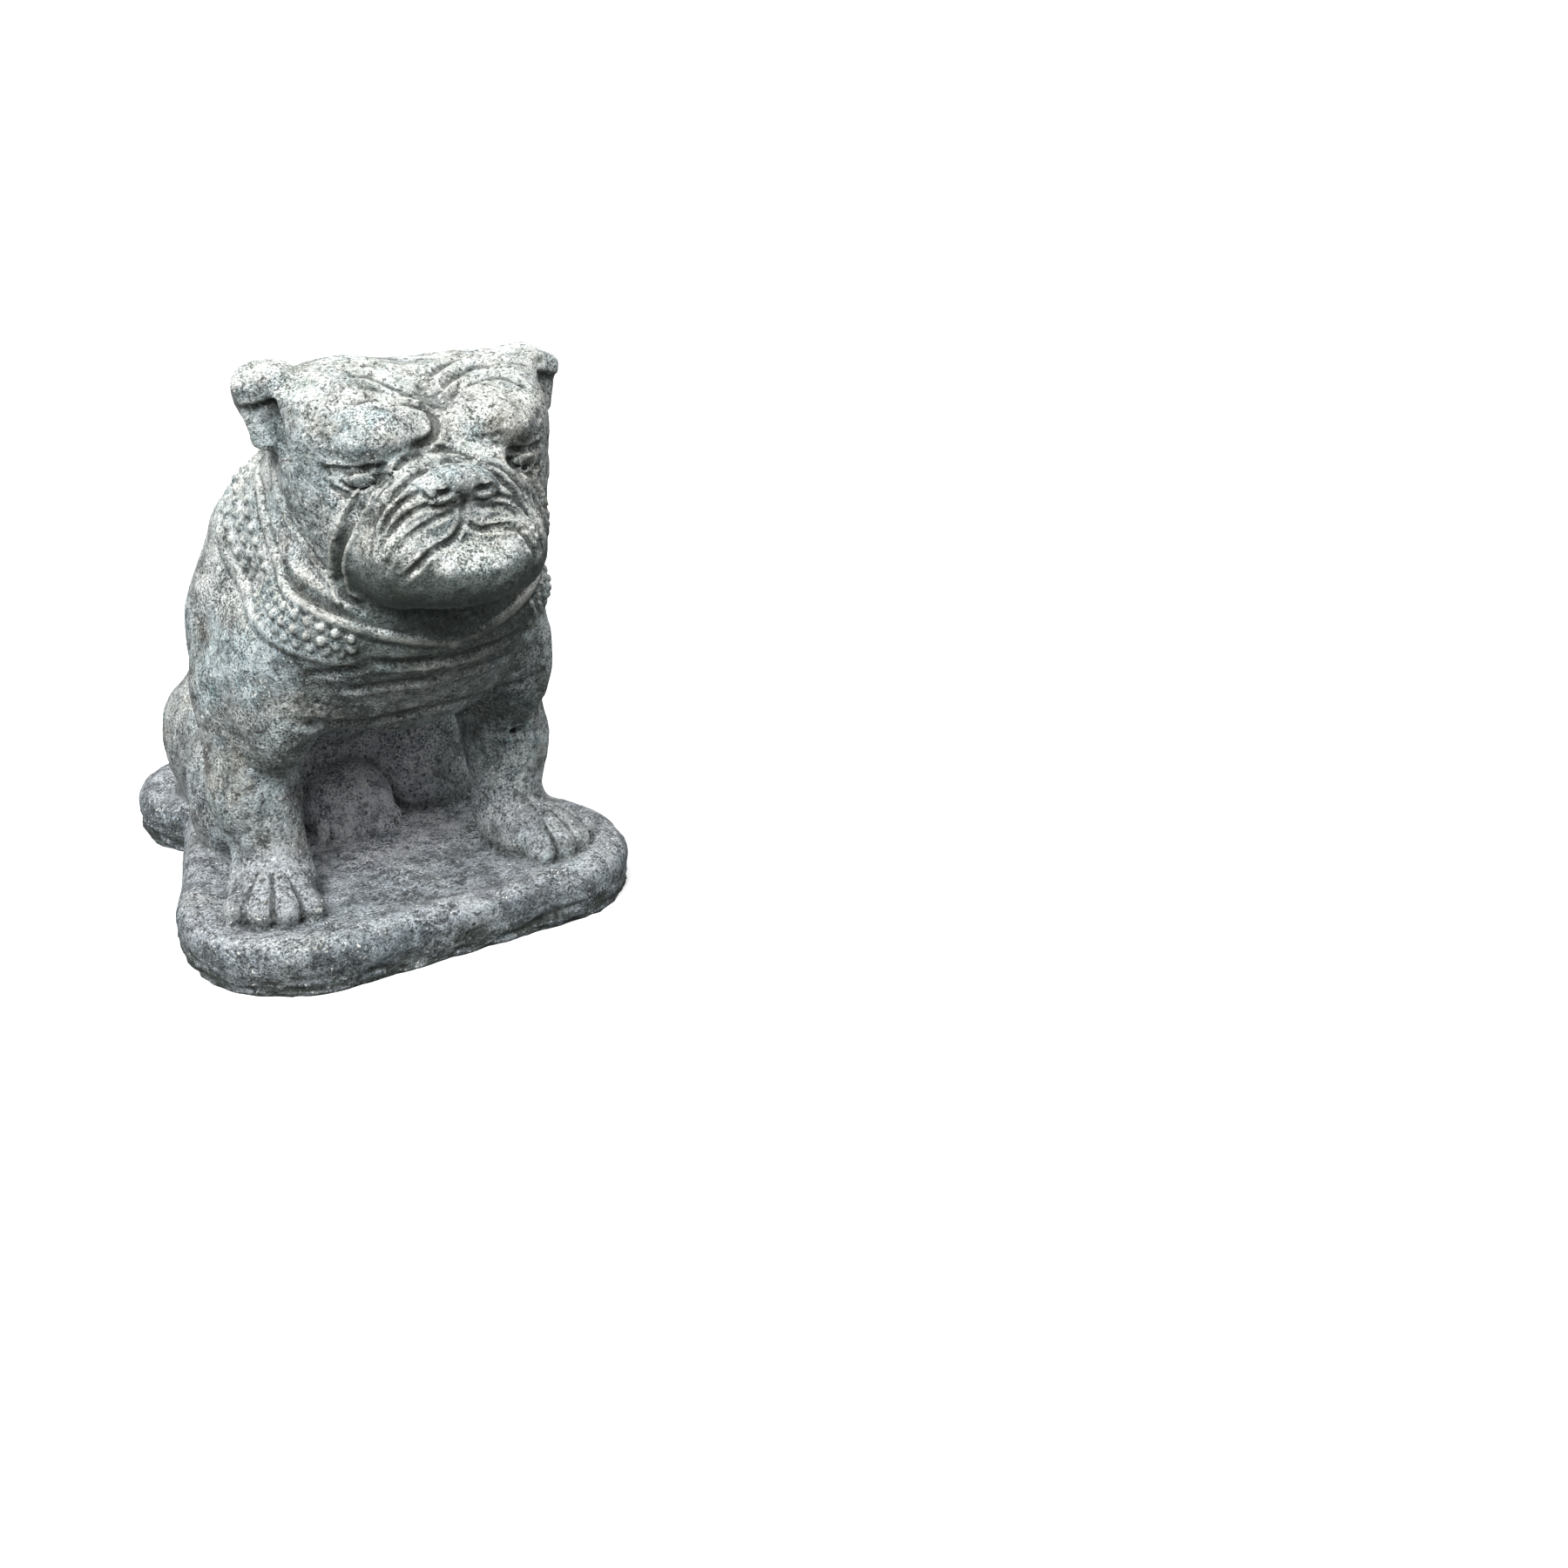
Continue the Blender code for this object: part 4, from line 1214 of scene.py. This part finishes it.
def fill_light_and_damp_side(n, colour):
    """Painted light brightens the shaded stone between the forelegs, and the base's side is damp.
    """
    middle = n.step(n.math("ABSOLUTE", n.across, 0), 0.08, 0.05)
    painted_fill = n.times(middle, n.step(n.height, 0.14, 0.08))
    painted_fill = n.times(painted_fill, n.step(n.along, -0.09, -0.04))
    # Painted light between the forelegs and over the hind paws
    colour = n.mix(colour, PAINTED_FILL_LIGHT, n.times(painted_fill, 0.8))
    patchy = n.step(n.noise(15, 4, 0.65, 3.8), 0.3, 0.6, 0.3, 0.8)
    return n.mix(colour, DAMP_SIDE, n.times(n.step(n.height, 0.036, 0.028), patchy))


def shaded_chin(n, colour):
    """Painted shade darkens the lower half of the muzzle where it faces sideways or down."""
    chin_shade_share = n.times(n.step(n.height, 0.33, 0.285), n.step(n.height, 0.19, 0.24))
    chin_shade_share = n.times(chin_shade_share, n.step(n.up, 0.55, 0.1, 0, 0.8))
    chin_shade_share = n.times(chin_shade_share, n.step(n.along, -0.14, -0.17))
    # Painted shade on the lower muzzle
    return n.mix(colour, CHIN_SHADE, chin_shade_share)

# %% Grain, chalk and pits
CHALK = (0.92, 0.92, 0.86)
# Painted shade for the pits that the bump sinks
PIT_SHADE = (0.045, 0.05, 0.045)


def grainy(n, colour, grain, blotch):
    """Grain, coarse in some places, and larger blotches darken and lighten the stone."""
    coarse = n.step(n.noise(23, 5, 0.7, 12.5), 0.4, 0.6, 0.45, 0.95)
    colour = n.mix(colour, n.tone(grain, 0.38, 0.62, 0.14, 0.84), coarse, "OVERLAY")
    return n.mix(colour, n.tone(blotch, 0.38, 0.6, 0.22, 0.74), 0.85, "OVERLAY")


def chalky(n, colour):
    speck = n.step(n.noise(430, 2, 0.5, 4.2), 0.62, 0.67)
    crowded = n.step(n.noise(45, 3, 0.6, 1.2), 0.4, 0.6, 0.2, 0.9)
    return n.mix(colour, CHALK, n.times(speck, crowded))

# %% Painted shade in pits and creases, pale edges, and streaks at the ground
# Painted shade for sunk spots of the worn skin and for creases
SUNK_SHADE = (0.05, 0.055, 0.045)
CREASE_SHADE = (0.04, 0.045, 0.04)
# Sharp edges are made lighter with this grey
PALE_EDGE = (0.66, 0.67, 0.62)
GROUND_STREAK = (0.04, 0.05, 0.04)


def painted_shade_and_pale_edges(n, colour, worn, crease):
    """Sunk spots of the worn skin and creases are painted dark as shade, and sharp edges are paler.
    """
    # Painted shade in sunk spots and creases
    colour = n.mix(colour, SUNK_SHADE, n.times(n.step(worn, -0.4, -2.2), 0.7))
    colour = n.mix(colour, CREASE_SHADE, n.times(n.step(crease, 0.05, 0.32), 0.75))
    return n.mix(colour, PALE_EDGE, n.times(n.step(crease, -0.06, -0.35), 0.4))


def streaked(n, colour):
    streaks = n.noise(50, 4, 0.65, 4.4, (1, 1, 5))
    low = n.times(n.step(n.height, 0.024, 0.004), n.step(streaks, 0.42, 0.58))
    return n.mix(colour, GROUND_STREAK, n.times(low, 0.8))

# %% The stone
ROUGHNESS = 0.95
SHEEN = 0.2
BUMP_STRENGTH = 1.0
BUMP_DISTANCE = 0.002


def stone():
    """Each layer of colour is mixed over the last. Blotches and grain rise, and pits sink."""
    material = bpy.data.materials.new("weathered_stone")
    material.use_nodes = True
    n = Nodes(material)
    shader = n.nodes["Principled BSDF"]
    grain = n.noise(620, 3, 0.7, 6.1)
    blotch = n.noise(70, 7, 0.72, 2.4)
    pit = n.step(n.noise(300, 3, 0.65, 9.4), 0.42, 0.35)
    colour = lit_tops_rain_and_mud(n, bare_stone(n))
    colour = fill_light_and_damp_side(n, algae_and_shade(n, colour, n.attribute("hollow")))
    colour = chalky(n, grainy(n, colour, grain, blotch))
    # Painted shade: the pits that the bump sinks are made dark
    colour = n.mix(colour, PIT_SHADE, n.times(pit, 0.7))
    colour = painted_shade_and_pale_edges(n, shaded_chin(n, colour), n.attribute("wear"), n.attribute("crease"))
    n.links.new(streaked(n, colour), shader.inputs["Base Color"])
    shader.inputs["Roughness"].default_value = ROUGHNESS
    shader.inputs["Specular IOR Level"].default_value = SHEEN
    rough = n.math("ADD", n.times(blotch, 1.2), n.times(grain, 0.9))
    rough = n.math("SUBTRACT", rough, n.times(pit, 0.9))
    bump = n.nodes.new("ShaderNodeBump")
    bump.inputs["Strength"].default_value = BUMP_STRENGTH
    bump.inputs["Distance"].default_value = BUMP_DISTANCE
    n.links.new(rough, bump.inputs["Height"])
    n.links.new(bump.outputs["Normal"], shader.inputs["Normal"])
    return material


statue.data.materials.append(stone())
print(len(statue.data.materials[0].node_tree.nodes), "nodes in the stone")

# %% [markdown]
# ## Putting it together
#
# The camera, the floor, the sky and the lamp are added around the finished statue. The statue is
# then tied to the part's one body and takes the place of the coarse solid.

# %% Camera, floor, sky and lamp
LAMP_POWER = 70
LAMP_SIZE = 1.0
LAMP_PLACE = (-1.3, -1.15, 2.1)

add_camera(shift)
add_floor()
add_world()
add_light("key", LAMP_POWER, LAMP_SIZE, LAMP_PLACE)
bpy.context.scene.view_settings.view_transform = "Standard"

# %% The statue on its body
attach(statue, "root")
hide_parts("bulldog_statue")
